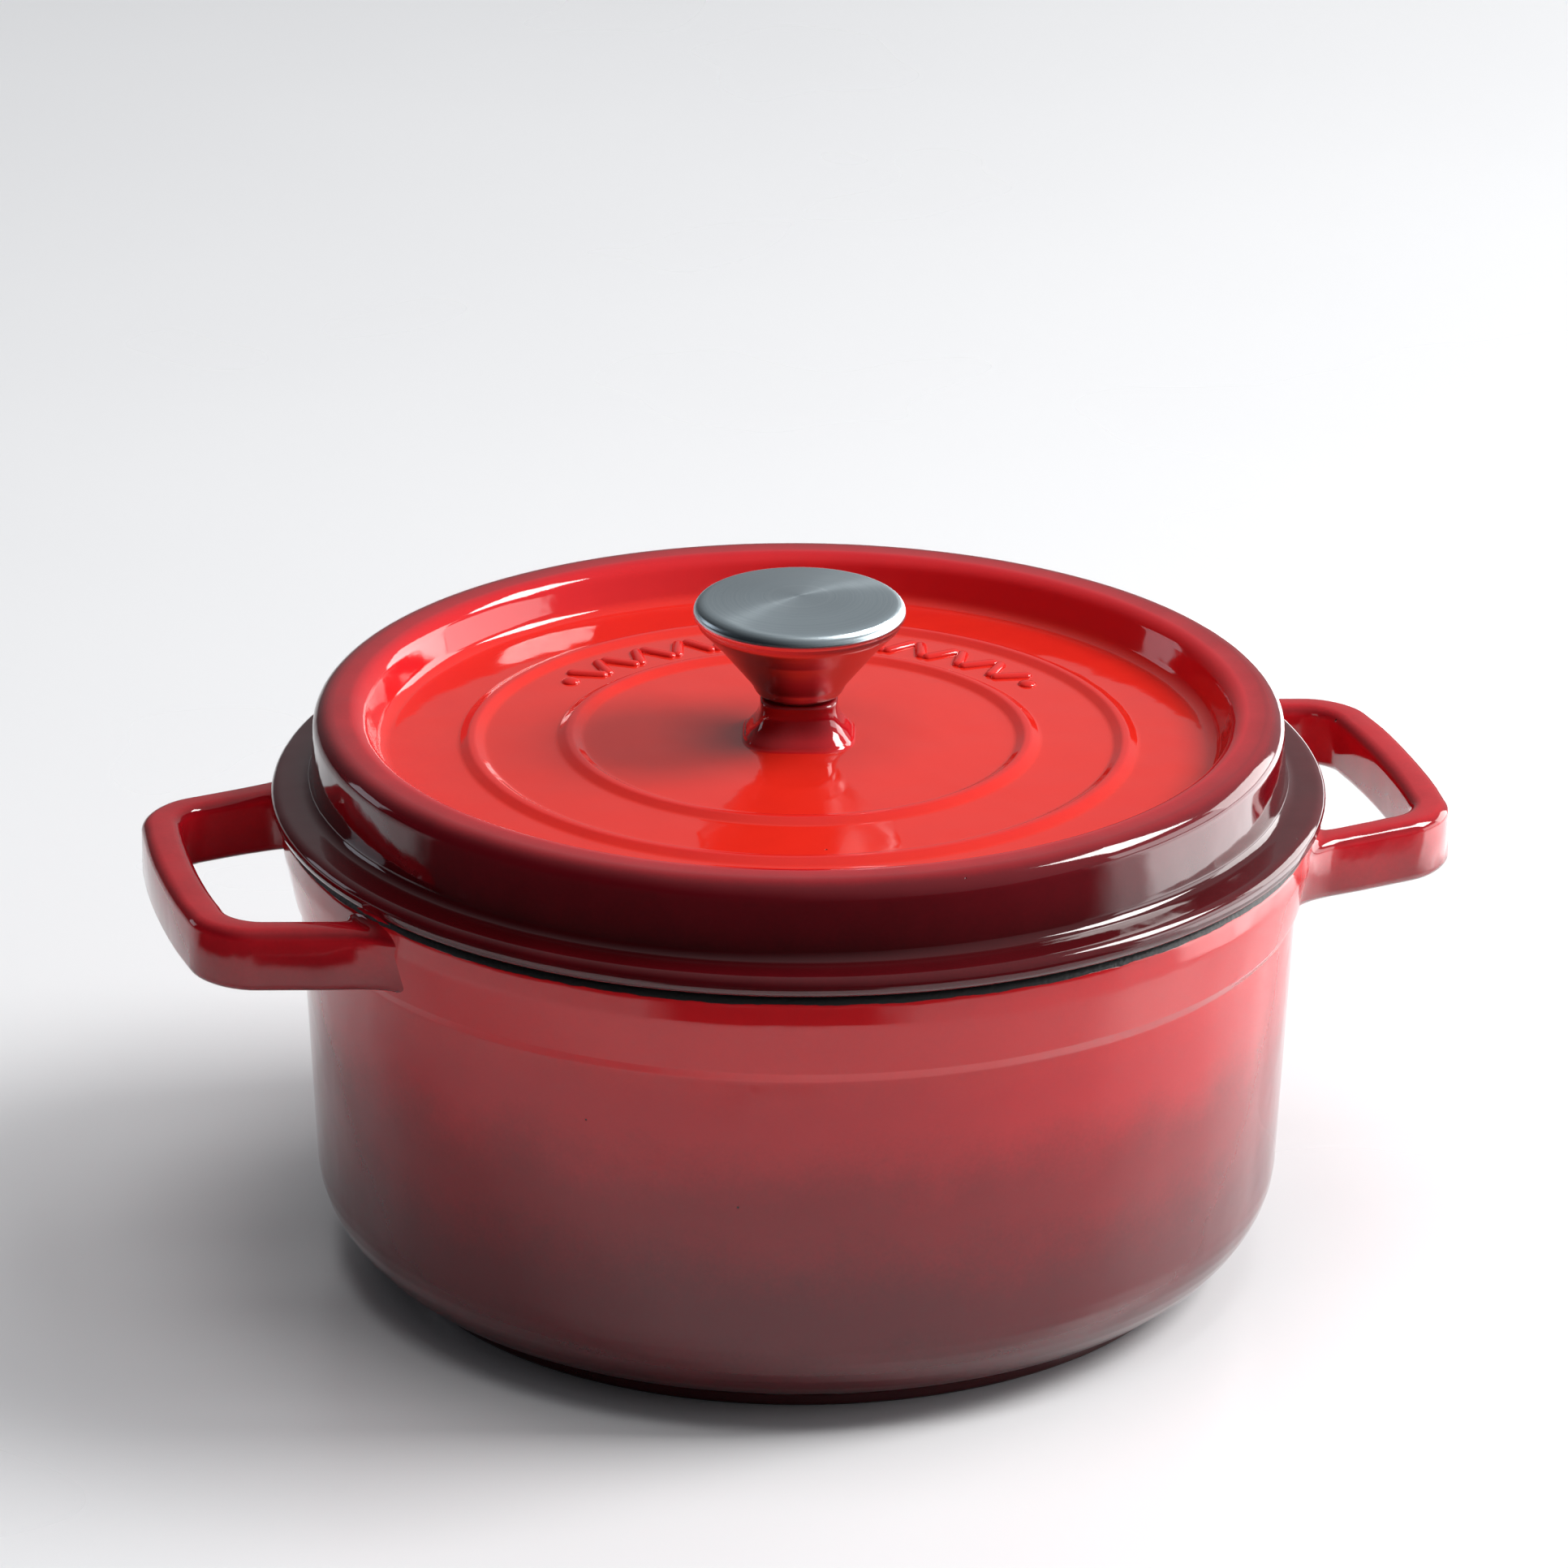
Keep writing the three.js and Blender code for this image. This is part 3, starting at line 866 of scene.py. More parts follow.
def make_piece(
    name: str, bm: BMesh, material: bpy.types.Material, body: Body, nodes: tuple[str, ...] = ()
) -> bpy.types.Object:
    """Turns a mesh into a finished piece of the dish.

    Args:
        name: the piece's name.
        bm: its mesh in millimetres, which is freed.
        material: its finish.
        body: the body that it rides on.
        nodes: the CAD nodes that it stands for.

    Returns:
        The piece.
    """
    bmesh.ops.scale(bm, vec=(MM, MM, MM), verts=bm.verts[:])
    mesh = take_mesh(name, bm)
    mesh.shade_smooth()
    mesh.set_sharp_from_angle(angle=CREASE)
    mesh.materials.append(material)
    piece = place_object(name, mesh)
    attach(piece, body.value)
    if nodes:
        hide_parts(*nodes)
    log.info("%s: %d faces, rides on %s", name, len(mesh.polygons), body.value)
    return piece


# ---------------------------------------------------------------- the pot


@dataclass
class Pot:
    """The cast pot: its bowl, band, rim and foot."""

    radius: float = 121.0
    height: float = 115.6
    taper: float = 4.0
    wall: float = 3.6
    base: float = 4.4
    corner: float = 23.0
    inner_corner: float = 20.0
    foot_radius: float = 99.6
    foot_height: float = 3.4
    foot_round: float = 1.0
    foot_fillet: float = 0.8
    heel_height: float = 9.3
    band_bottom: float = 93.7
    band_step: float = 1.6
    band_proud: float = 1.5
    band_lead: float = 1.0
    band_fillet: float = 1.4
    band_round: float = 1.0
    rim_radius: float = 125.2
    rim_width: float = 6.0
    rim_round: float = 2.4
    mouth_round: float = 1.2
    shoulder: float = 7.6
    shoulder_round: float = 9.0
    ledge_depth: float = 6.0
    black_line: float = 3.0
    bright: float = 0.24
    darkening: float = 0.8

    def wall_radius(self, height: float) -> float:
        """Gives the band's outer radius at a height."""
        start = self.radius + self.band_proud
        foot = self.band_bottom + self.band_step
        share = min(1.0, (height - foot) / (self.height - self.shoulder - foot))
        return start + share * (self.rim_radius - start)

    def outline(self) -> tuple[Corner, ...]:
        """Draws the bowl's section, from the foot round the rim to the inside.

        Returns:
            The section's corners.
        """
        heel = self.radius - self.taper
        mouth = self.rim_radius - self.rim_width
        inner_band = self.radius - self.wall
        band_foot = self.band_bottom - self.band_lead
        band_face = self.band_bottom + self.band_step
        band_black = self.black_line - (self.height - self.band_bottom)
        shoulder = self.height - self.shoulder
        return (
            Corner(0.0, 0.0, black=FAR_INSIDE),
            Corner(self.foot_radius, 0.0, self.foot_round, black=0.0),
            Corner(self.foot_radius, self.foot_height, self.foot_fillet, black=-3.0),
            Corner(heel, self.heel_height, self.corner),
            Corner(self.radius, band_foot, self.band_fillet, black=band_black - self.band_lead),
            Corner(self.radius + self.band_proud, band_face, self.band_round, black=band_black + self.band_step),
            Corner(self.rim_radius, shoulder, self.shoulder_round, black=self.black_line - self.shoulder),
            Corner(self.rim_radius, self.height, self.rim_round, black=self.black_line),
            Corner(mouth, self.height, self.mouth_round, black=FAR_INSIDE),
            Corner(mouth, self.height - self.ledge_depth, black=FAR_INSIDE),
            Corner(inner_band, self.band_bottom, black=FAR_INSIDE),
            Corner(heel - self.wall, self.base, self.inner_corner, black=FAR_INSIDE),
            Corner(0.0, self.base, black=FAR_INSIDE),
        )

    def shade_at(self, height: float) -> float:
        """Gives how far the enamel has darkened at a height, from the band down to the foot."""
        share = min(1.0, max(0.0, 1.0 - height / self.band_bottom))
        return self.bright + share**self.darkening * (1.0 - self.bright)

    def build(self, enamel: bpy.types.Material) -> None:
        """Makes the bowl.

        Args:
            enamel: the pot's enamel.
        """
        bm = turned_shell(self.outline(), DISH_STEPS)
        shade = bm.verts.layers.float["shade"]
        for vert in bm.verts:
            vert[shade] = self.shade_at(vert.co.z)
        make_piece("pot_bowl", bm, enamel, Body.POT, ("pot",))


@dataclass
class SideHandle:
    """A loop handle, swept round a bowed plan from one root in the pot's wall to the other."""

    pot: Pot
    side: int
    tip: float = 159.0
    bow: float = 4.2
    bow_round: float = 220.0
    root_reach: float = 105.1
    root_half: float = 54.0
    corner_half: float = 42.25
    corner_round: float = 17.0
    bar: float = 9.2
    inner_root_half: float = 44.8
    inner_corner_half: float = 35.2
    inner_corner_round: float = 9.5
    thickness: float = 15.8
    top: float = 112.2
    edge_across: float = 3.3
    edge_down: float = 3.0
    ring_sides: int = 32
    root_fillet: float = 7.0
    root_fillet_top: float = 3.0
    root_fillet_under: float = 0.7
    root_depth: float = 0.4
    root_run: float = 12.0
    shade: float = 0.45
    edge_shade: float = 0.13
    edge_place: float = 0.86
    edge_width: float = 0.16
    painted_under_shade: float = 0.12
    arm_stations: int = 34
    arc_segments: int = 10

    def root_radius(self) -> float:
        """Gives the radius of the handle's end, just inside the wall at mid height."""
        return self.pot.wall_radius(self.top - self.thickness / 2) - self.root_depth

    def root_point(self, root: Vector, corner: Vector) -> Vector:
        """Finds where an arm's edge enters the wall.

        Args:
            root: the arm's far end, inside the pot.
            corner: its corner at the bar.

        Returns:
            The place on the line just inside the wall.
        """
        run = corner - root
        half = root.dot(run) / run.length_squared
        rest = (root.length_squared - self.root_radius() ** 2) / run.length_squared
        return root + (math.sqrt(half * half - rest) - half) * run

    def rail(self, tip: float, root_half: float, corner_half: float, corner_round: float) -> list[Vector]:
        """Lists the points of the plan's outer or inner edge.

        Args:
            tip: the edge's reach before its bow is rounded.
            root_half: half the width at the root.
            corner_half: half the width at the corner.
            corner_round: the corner's radius.

        Returns:
            The edge's points from one root to the other, with X across and Z along the bar.
        """
        bar_end = tip - self.bow
        root = self.root_point(Vector((self.root_reach, root_half)), Vector((bar_end, corner_half)))
        bm = bmesh.new()
        corners = (
            Corner(root.x, -root.y),
            Corner(bar_end, -corner_half, corner_round),
            Corner(tip, 0.0, self.bow_round),
            Corner(bar_end, corner_half, corner_round),
            Corner(root.x, root.y),
        )
        lay_wire(bm, corners, False, self.arc_segments)
        arms = [edge for edge in bm.edges if any(len(vert.link_edges) == 1 for vert in edge.verts)]
        bmesh.ops.subdivide_edges(bm, edges=arms, cuts=self.arm_stations - 1)
        points = walk_wire(bm)
        bm.free()
        for run in (range(self.arm_stations), range(-1, -1 - self.arm_stations, -1)):
            start, end = points[run[0]].copy(), points[run[-1] + run.step].copy()
            for index, place in enumerate(run):
                points[place] = start.lerp(end, (index / self.arm_stations) ** 2)
        return points

    def ring(self, bm: BMesh, inner: Vector, outer: Vector) -> list[BMEdge]:
        """Makes one section of the handle, a rounded rectangle that flares into the wall.

        Args:
            bm: the mesh that the section goes in.
            inner: the section's place on the inner edge, on the plan.
            outer: its place on the outer edge.

        Returns:
            The section's edges.
        """
        across = (outer - inner) / 2
        centre = (outer + inner) / 2
        half = across.length - self.edge_across
        depth = self.thickness / 2 - self.edge_down
        circle = bmesh.ops.create_circle(bm, segments=self.ring_sides, radius=1.0, cap_ends=False)
        bmesh.ops.rotate(bm, verts=circle["verts"], matrix=Matrix.Rotation(math.pi / self.ring_sides, 3, "Z"))
        heading = across.normalized()
        for vert in circle["verts"]:
            side, rise = vert.co.x, vert.co.y
            offset = math.copysign(half, side) + side * self.edge_across
            height = self.top - self.thickness / 2 + math.copysign(depth, rise) + rise * self.edge_down
            reach = Vector((centre.x + heading.x * offset, centre.z + heading.z * offset))
            gap = reach.length - self.root_radius()
            rise_fillet = self.root_fillet_top if rise > 0 else self.root_fillet_under
            offset += side * self.flare(gap, self.root_fillet)
            height += rise * self.flare(gap, rise_fillet)
            place = Vector((centre.x + heading.x * offset, centre.z + heading.z * offset))
            lean = self.pot.wall_radius(height) - self.root_radius() - self.root_depth
            followed = place.normalized() * (reach.length + lean)
            place = place.lerp(followed, self.near_root(gap))
            vert.co = (self.side * place.x, place.y, height)
        return list({edge for vert in circle["verts"] for edge in vert.link_edges})

    def near_root(self, gap: float) -> float:
        """Gives how much a place still follows the wall's lean, 1 at the root and 0 past the run."""
        return 1.0 - min(1.0, max(0.0, gap) / self.root_run)

    @staticmethod
    def flare(gap: float, radius: float) -> float:
        """Gives how far a root fillet stands out at a distance from the wall."""
        left = radius - min(radius, max(0.0, gap))
        return radius - math.sqrt(radius * radius - left * left)

    def tone(self, place: Vector) -> tuple[float, float]:
        """Gives the shade: deep red, darker where the enamel runs thin over the edges, with painted shade on the
        lower half.
        """
        middle = self.top - self.thickness / 2
        rise = abs(place.z - middle) / (self.thickness / 2)
        near_edge = max(0.0, 1.0 - abs(rise - self.edge_place) / self.edge_width)
        # The lower half is darker still: painted shade under the handle.
        under = self.painted_under_shade if place.z < middle else 0.0
        return self.shade + self.edge_shade * near_edge + under, -FAR_INSIDE

    def build(self, enamel: bpy.types.Material, name: str) -> None:
        """Makes the handle.

        Args:
            enamel: the pot's enamel.
            name: the piece's name.
        """
        outer = self.rail(self.tip, self.root_half, self.corner_half, self.corner_round)
        inner = self.rail(
            self.tip - self.bar, self.inner_root_half, self.inner_corner_half, self.inner_corner_round
        )
        bm = bmesh.new()
        rings = [self.ring(bm, start, end) for start, end in zip(inner, outer)]
        for first, second in zip(rings, rings[1:]):
            bmesh.ops.bridge_loops(bm, edges=first + second)
        for end in (rings[0], rings[-1]):
            bmesh.ops.contextual_create(bm, geom=end)
        bmesh.ops.recalc_face_normals(bm, faces=bm.faces[:])
        paint(bm, self.tone)
        make_piece(name, bm, enamel, Body.POT, ("pot",))


# ---------------------------------------------------------------- the lid


@dataclass
class Lid:
    """The cast lid: a domed floor in a raised crest, a flange, a locating lip and the knob's boss."""

    radius: float = 127.5
    seat: float = 115.9
    wall: float = 3.8
    flange_top: float = 121.0
    flange_inner_rise: float = 0.5
    flange_round: float = 2.4
    wall_radius: float = 117.9
    wall_foot_round: float = 2.6
    crest_radius: float = 117.0
    crest_height: float = 140.0
    crest_width: float = 11.8
    crest_round: float = 4.5
    crest_inner_round: float = 4.2
    floor_radius: float = 101.2
    floor_edge: float = 129.5
    floor_dome: float = 2.4
    floor_round: float = 3.6
    under_round: float = 4.0
    lip_radius: float = 118.3
    lip_bottom: float = 110.7
    lip_wall: float = 4.2
    lip_round: float = 1.4
    seat_fillet: float = 0.8
    bead_radii: tuple[float, ...] = (55.4, 79.0)
    bead_half_width: float = 3.1
    bead_crown: float = 0.8
    bead_proud: float = 1.4
    bead_round: float = 2.0
    bead_crown_round: float = 1.6
    hole: float = 3.3
    under_floor_radius: float = 103.82
    under_crest_radius: float = 107.82
    under_crest: float = 136.2
    under_crest_round: float = 3.0

    def dome(self, reach: float) -> float:
        """Gives how far the floor rises above its edge at a distance from the axis."""
        return self.floor_dome * (1 - (min(reach, self.floor_radius) / self.floor_radius) ** 2)

    def bead_corners(self, radius: float) -> tuple[Corner, ...]:
        """Draws a raised ring on the floor.

        Args:
            radius: the ring's radius.

        Returns:
            Its four corners, from the inner side.
        """
        foot, crown = self.bead_half_width, self.bead_crown
        top = self.floor_edge + self.bead_proud
        return (
            Corner(radius - foot, self.floor_edge, self.bead_round, shade=0.02),
            Corner(radius - crown, top, self.bead_crown_round, shade=0.08),
            Corner(radius + crown, top, self.bead_crown_round, shade=0.08),
            Corner(radius + foot, self.floor_edge, self.bead_round, shade=0.02),
        )

    def outline(self) -> tuple[Corner, ...]:
        """Draws the lid's section round from the hole, over the top and back along the underside.

        Returns:
            The section's corners.
        """
        beads = tuple(corner for radius in self.bead_radii for corner in self.bead_corners(radius))
        crest_inner = self.crest_radius - self.crest_width
        flange_root = self.flange_top + self.flange_inner_rise
        lip_inner = self.lip_radius - self.lip_wall
        under = self.floor_edge - self.wall
        return (
            Corner(self.hole, self.floor_edge),
            *beads,
            Corner(self.floor_radius, self.floor_edge, self.floor_round, shade=0.08),
            Corner(crest_inner, self.crest_height, self.crest_inner_round, shade=0.3),
            Corner(self.crest_radius, self.crest_height, self.crest_round, shade=0.78),
            Corner(self.wall_radius, flange_root, self.wall_foot_round, shade=1.0),
            Corner(self.radius, self.flange_top, self.flange_round, shade=0.92),
            Corner(self.radius, self.seat, self.flange_round, shade=0.95, black=-1.6),
            Corner(self.lip_radius, self.seat, self.seat_fillet, shade=0.9, black=5.0),
            Corner(self.lip_radius, self.lip_bottom, self.lip_round, black=FAR_INSIDE),
            Corner(lip_inner, self.lip_bottom, self.lip_round, black=FAR_INSIDE),
            Corner(lip_inner, self.under_crest, self.under_crest_round, black=FAR_INSIDE),
            Corner(self.under_crest_radius, self.under_crest, self.under_crest_round, black=FAR_INSIDE),
            Corner(self.under_floor_radius, under, self.under_round, black=FAR_INSIDE),
            Corner(self.hole, under, black=FAR_INSIDE),
        )

    def lift_floor(self, bm: BMesh) -> None:
        """Raises the flat floor and what stands on it to the dome.

        Args:
            bm: the mesh to raise.
        """
        for vert in bm.verts:
            vert.co.z += self.dome(math.hypot(vert.co.x, vert.co.y))

    def build(self, enamel: bpy.types.Material) -> None:
        """Makes the plate of the lid.

        Args:
            enamel: the lid's enamel.
        """
        bm = turned_shell(self.outline(), DISH_STEPS, closed=True)
        self.lift_floor(bm)
        make_piece("lid_plate", bm, enamel, Body.LID, ("lid",))


@dataclass
class Boss:
    """The squarish post on the lid that the knob is screwed down to."""

    hole: float = 3.3
    top: float = 142.1
    waist: float = 9.0
    top_radius: float = 9.5
    foot: float = 12.8
    foot_top: float = 132.9
    waist_bottom: float = 137.4
    skirt: float = 15.4
    sink: float = 0.8
    fillet_reach: float = 0.5
    fillet_rise: float = 0.2
    fillet_round: float = 1.4
    foot_round: float = 1.0
    waist_round: float = 8.0
    top_round: float = 0.8
    floor: float = 131.87
    squareness: float = 3.4
    turn: float = math.radians(-15)

    def outline(self) -> tuple[Corner, ...]:
        """Draws the post's section.

        Returns:
            The section's corners.
        """
        root = self.floor - self.sink
        fillet = self.foot + self.fillet_reach
        # The shade deepens up the waist to the top: partly the enamel's deeper tone, partly painted shade for
        # the dark surroundings mirrored in the post.
        return (
            Corner(self.hole, root, shade=0.3),
            Corner(self.skirt, root, shade=0.1),
            Corner(fillet, self.floor + self.fillet_rise, self.fillet_round, shade=0.2),
            Corner(self.foot, self.foot_top, self.foot_round, shade=0.34),
            Corner(self.waist, self.waist_bottom, self.waist_round, shade=0.56),
            Corner(self.top_radius, self.top, self.top_round, shade=0.62),
            Corner(self.hole, self.top, shade=0.5),
        )

    def square_up(self, bm: BMesh) -> None:
        """Draws the round post out to its four corners and turns it to face the front.

        Args:
            bm: the post's mesh.
        """
        power = self.squareness
        for vert in bm.verts:
            reach = math.hypot(vert.co.x, vert.co.y)
            share = min(1.0, max(0.0, (reach - self.hole) / (self.waist - self.hole)))
            side = (abs(vert.co.x) ** power + abs(vert.co.y) ** power) ** (1 / power)
            stretch = 1 + share * (reach / side - 1)
            vert.co.x *= stretch
            vert.co.y *= stretch
        bmesh.ops.rotate(bm, verts=bm.verts[:], matrix=Matrix.Rotation(self.turn, 3, "Z"))

    def build(self, enamel: bpy.types.Material) -> None:
        """Makes the post.

        Args:
            enamel: the lid's enamel.
        """
        bm = turned_shell(self.outline(), DISH_STEPS // 2, closed=True)
        self.square_up(bm)
        make_piece("lid_boss", bm, enamel, Body.LID, ("lid",))


@dataclass
class DripStuds:
    """The rows of basting studs under the lid."""

    lid: Lid
    first_row: float = 34.0
    row_gap: float = 24.0
    rows: int = 3
    pitch: float = 25.0
    length: float = 4.0
    root: float = 2.6
    tip: float = 1.2
    sunk: float = 1.2
    fillet: float = 0.9
    fillet_drop: float = 0.5
    fillet_round: float = 1.0
    tip_round: float = 0.9
    tip_crown: float = 0.15
    round_segments: int = 4
    sides: int = 16

    def stud(self, radius: float, angle: float) -> BMesh:
        """Makes one stud in its place.

        Args:
            radius: its row's radius.
            angle: its place round the row.

        Returns:
            The stud.
        """
        roof = self.lid.floor_edge - self.lid.wall + self.lid.dome(radius)
        bm = bmesh.new()
        corners = (
            Corner(0.0, roof + self.sunk),
            Corner(self.root + self.fillet, roof + self.sunk),
            Corner(self.root, roof - self.fillet_drop, self.fillet_round),
            Corner(self.tip, roof - self.length, self.tip_round),
            Corner(0.0, roof - self.length - self.tip_crown),
        )
        lay_wire(bm, corners, False, self.round_segments)
        turn_wire(bm, self.sides)
        east, north = radius * math.cos(angle), radius * math.sin(angle)
        bmesh.ops.translate(bm, verts=bm.verts[:], vec=(east, north, 0.0))
        return bm

    def build(self, enamel: bpy.types.Material) -> None:
        """Makes every stud.

        Args:
            enamel: the matte enamel of the underside.
        """
        bm = bmesh.new()
        for row in range(self.rows):
            radius = self.first_row + row * self.row_gap
            count = int(FULL_TURN * radius / self.pitch)
            for index in range(count):
                merge_mesh(bm, self.stud(radius, FULL_TURN * index / count))
        make_piece("lid_drip_studs", bm, enamel, Body.LID, ("lid",))


@dataclass
class FloorOrnament:
    """A raised zigzag of plain bars between the two rings, at the back of the floor."""

    lid: Lid
    radius: float = 67.2
    middle: float = math.radians(75.25)
    half_span: float = math.radians(51)
    bars: int = 22
    lean: float = math.radians(27)
    bar_length: float = 10.5
    bar_width: float = 3.0
    end_bead: float = 4.6
    end_gap: float = 1.2
    shade: float = 0.09
    proud: float = 1.0

    def mound(self, angle: float, lean: float, length: float, width: float) -> BMesh:
        """Makes one soft raised mark.

        Args:
            angle: its place round the lid.
            lean: how far it leans from pointing outwards.
            length: its length.
            width: its width.

        Returns:
            The mark.
        """
        bm = bmesh.new()
        bmesh.ops.create_uvsphere(bm, u_segments=20, v_segments=12, radius=1.0)
        stretch = (length - width) / 2
        for vert in bm.verts:
            vert.co.x = vert.co.x * width / 2 + math.copysign(stretch, vert.co.x)
            vert.co.y = vert.co.y * width / 2
            vert.co.z *= self.proud
        bmesh.ops.rotate(bm, verts=bm.verts[:], matrix=Matrix.Rotation(lean, 3, "Z"))
        for vert in bm.verts:
            vert.co.x += self.radius
            vert.co.z += self.lid.floor_edge + self.lid.dome(math.hypot(vert.co.x, vert.co.y))
        bmesh.ops.rotate(bm, verts=bm.verts[:], matrix=Matrix.Rotation(angle, 3, "Z"))
        return bm

    def build(self, enamel: bpy.types.Material) -> None:
        """Makes the zigzag and the bead at each end of it.

        Args:
            enamel: the lid's enamel.
        """
        bm = bmesh.new()
        for index in range(self.bars):
            angle = self.middle + self.half_span * (2 * index / (self.bars - 1) - 1)
            lean = self.lean if index % 2 else -self.lean
            merge_mesh(bm, self.mound(angle, lean, self.bar_length, self.bar_width))
        for end in (-1, 1):
            angle = self.middle + end * self.half_span * (1 + 2 * self.end_gap / self.bars)
            merge_mesh(bm, self.mound(angle, 0.0, self.end_bead, self.end_bead))
        paint(bm, lambda place: (self.shade, -FAR_INSIDE))
        make_piece("lid_ornament", bm, enamel, Body.LID, ("lid",))


# ---------------------------------------------------------------- the knob


@dataclass
class Knob:
    """The sheet-steel knob: a flared cone under a shallow domed cap."""

    bottom: float = 142.4
    height: float = 25.0
    radius: float = 26.0
    sheet: float = 1.2
    hole: float = 3.3
    base_radius: float = 10.0
    base_round: float = 2.4
    hip_radius: float = 11.6
    hip_height: float = 3.2
    hip_round: float = 5.0
    flare_radius: float = 19.6
    flare_height: float = 13.0
    flare_round: float = 9.0
    collar_radius: float = 24.5
    collar_bottom: float = 160.5
    collar_height: float = 3.4
    collar_round: float = 0.5
    cap_dome: float = 1.4
    cap_skirt: float = 3.6
    cap_edge_round: float = 3.2
    cap_hem: float = 1.2
    cap_lean: float = 0.5
    crown_round: float = 60.0

    def cone_outline(self) -> tuple[Corner, ...]:
        """Draws the outside of the cone from its hole to its collar.

        Returns:
            The outline's corners.
        """
        return (
            Corner(self.hole, self.bottom),
            Corner(self.base_radius, self.bottom, self.base_round),
            Corner(self.hip_radius, self.bottom + self.hip_height, self.hip_round),
            Corner(self.flare_radius, self.bottom + self.flare_height, self.flare_round),
            Corner(self.collar_radius, self.collar_bottom, self.collar_round),
            Corner(self.collar_radius, self.collar_bottom + self.collar_height),
        )

    def cap_outline(self) -> tuple[Corner, ...]:
        """Draws the outside of the cap from its centre to its hem.

        Returns:
            The outline's corners.
        """
        top = self.bottom + self.height
        edge = top - self.cap_dome
        return (
            Corner(0.0, top),
            Corner(self.radius / 2, top - self.cap_dome / 4, self.crown_round),
            Corner(self.radius, edge, self.cap_edge_round),
            Corner(self.radius - self.cap_lean, edge - self.cap_skirt),
            Corner(self.radius - self.cap_hem, edge - self.cap_skirt),
        )

    def sheet_shell(self, corners: tuple[Corner, ...]) -> BMesh:
        """Spins an outline and gives it the sheet's thickness on its inner side.

        Args:
            corners: the outline's corners, outside face.

        Returns:
            The closed shell.
        """
        bm = bmesh.new()
        lay_wire(bm, corners, False)
        divide_wire(bm)
        turn_wire(bm, KNOB_STEPS)
        bmesh.ops.solidify(bm, geom=bm.faces[:], thickness=self.sheet)
        bmesh.ops.recalc_face_normals(bm, faces=bm.faces[:])
        return bm

    def build(self, cone_steel: bpy.types.Material, cap_steel: bpy.types.Material) -> None:
        """Makes the cone and the cap.

        Args:
            cone_steel: the cone's finish.
            cap_steel: the cap's finish.
        """
        cone = self.sheet_shell(self.cone_outline())
        make_piece("knob_cone_shell", cone, cone_steel, Body.KNOB, ("knob_cone",))
        cap = self.sheet_shell(self.cap_outline())
        make_piece("knob_cap_shell", cap, cap_steel, Body.KNOB, ("knob_cap",))


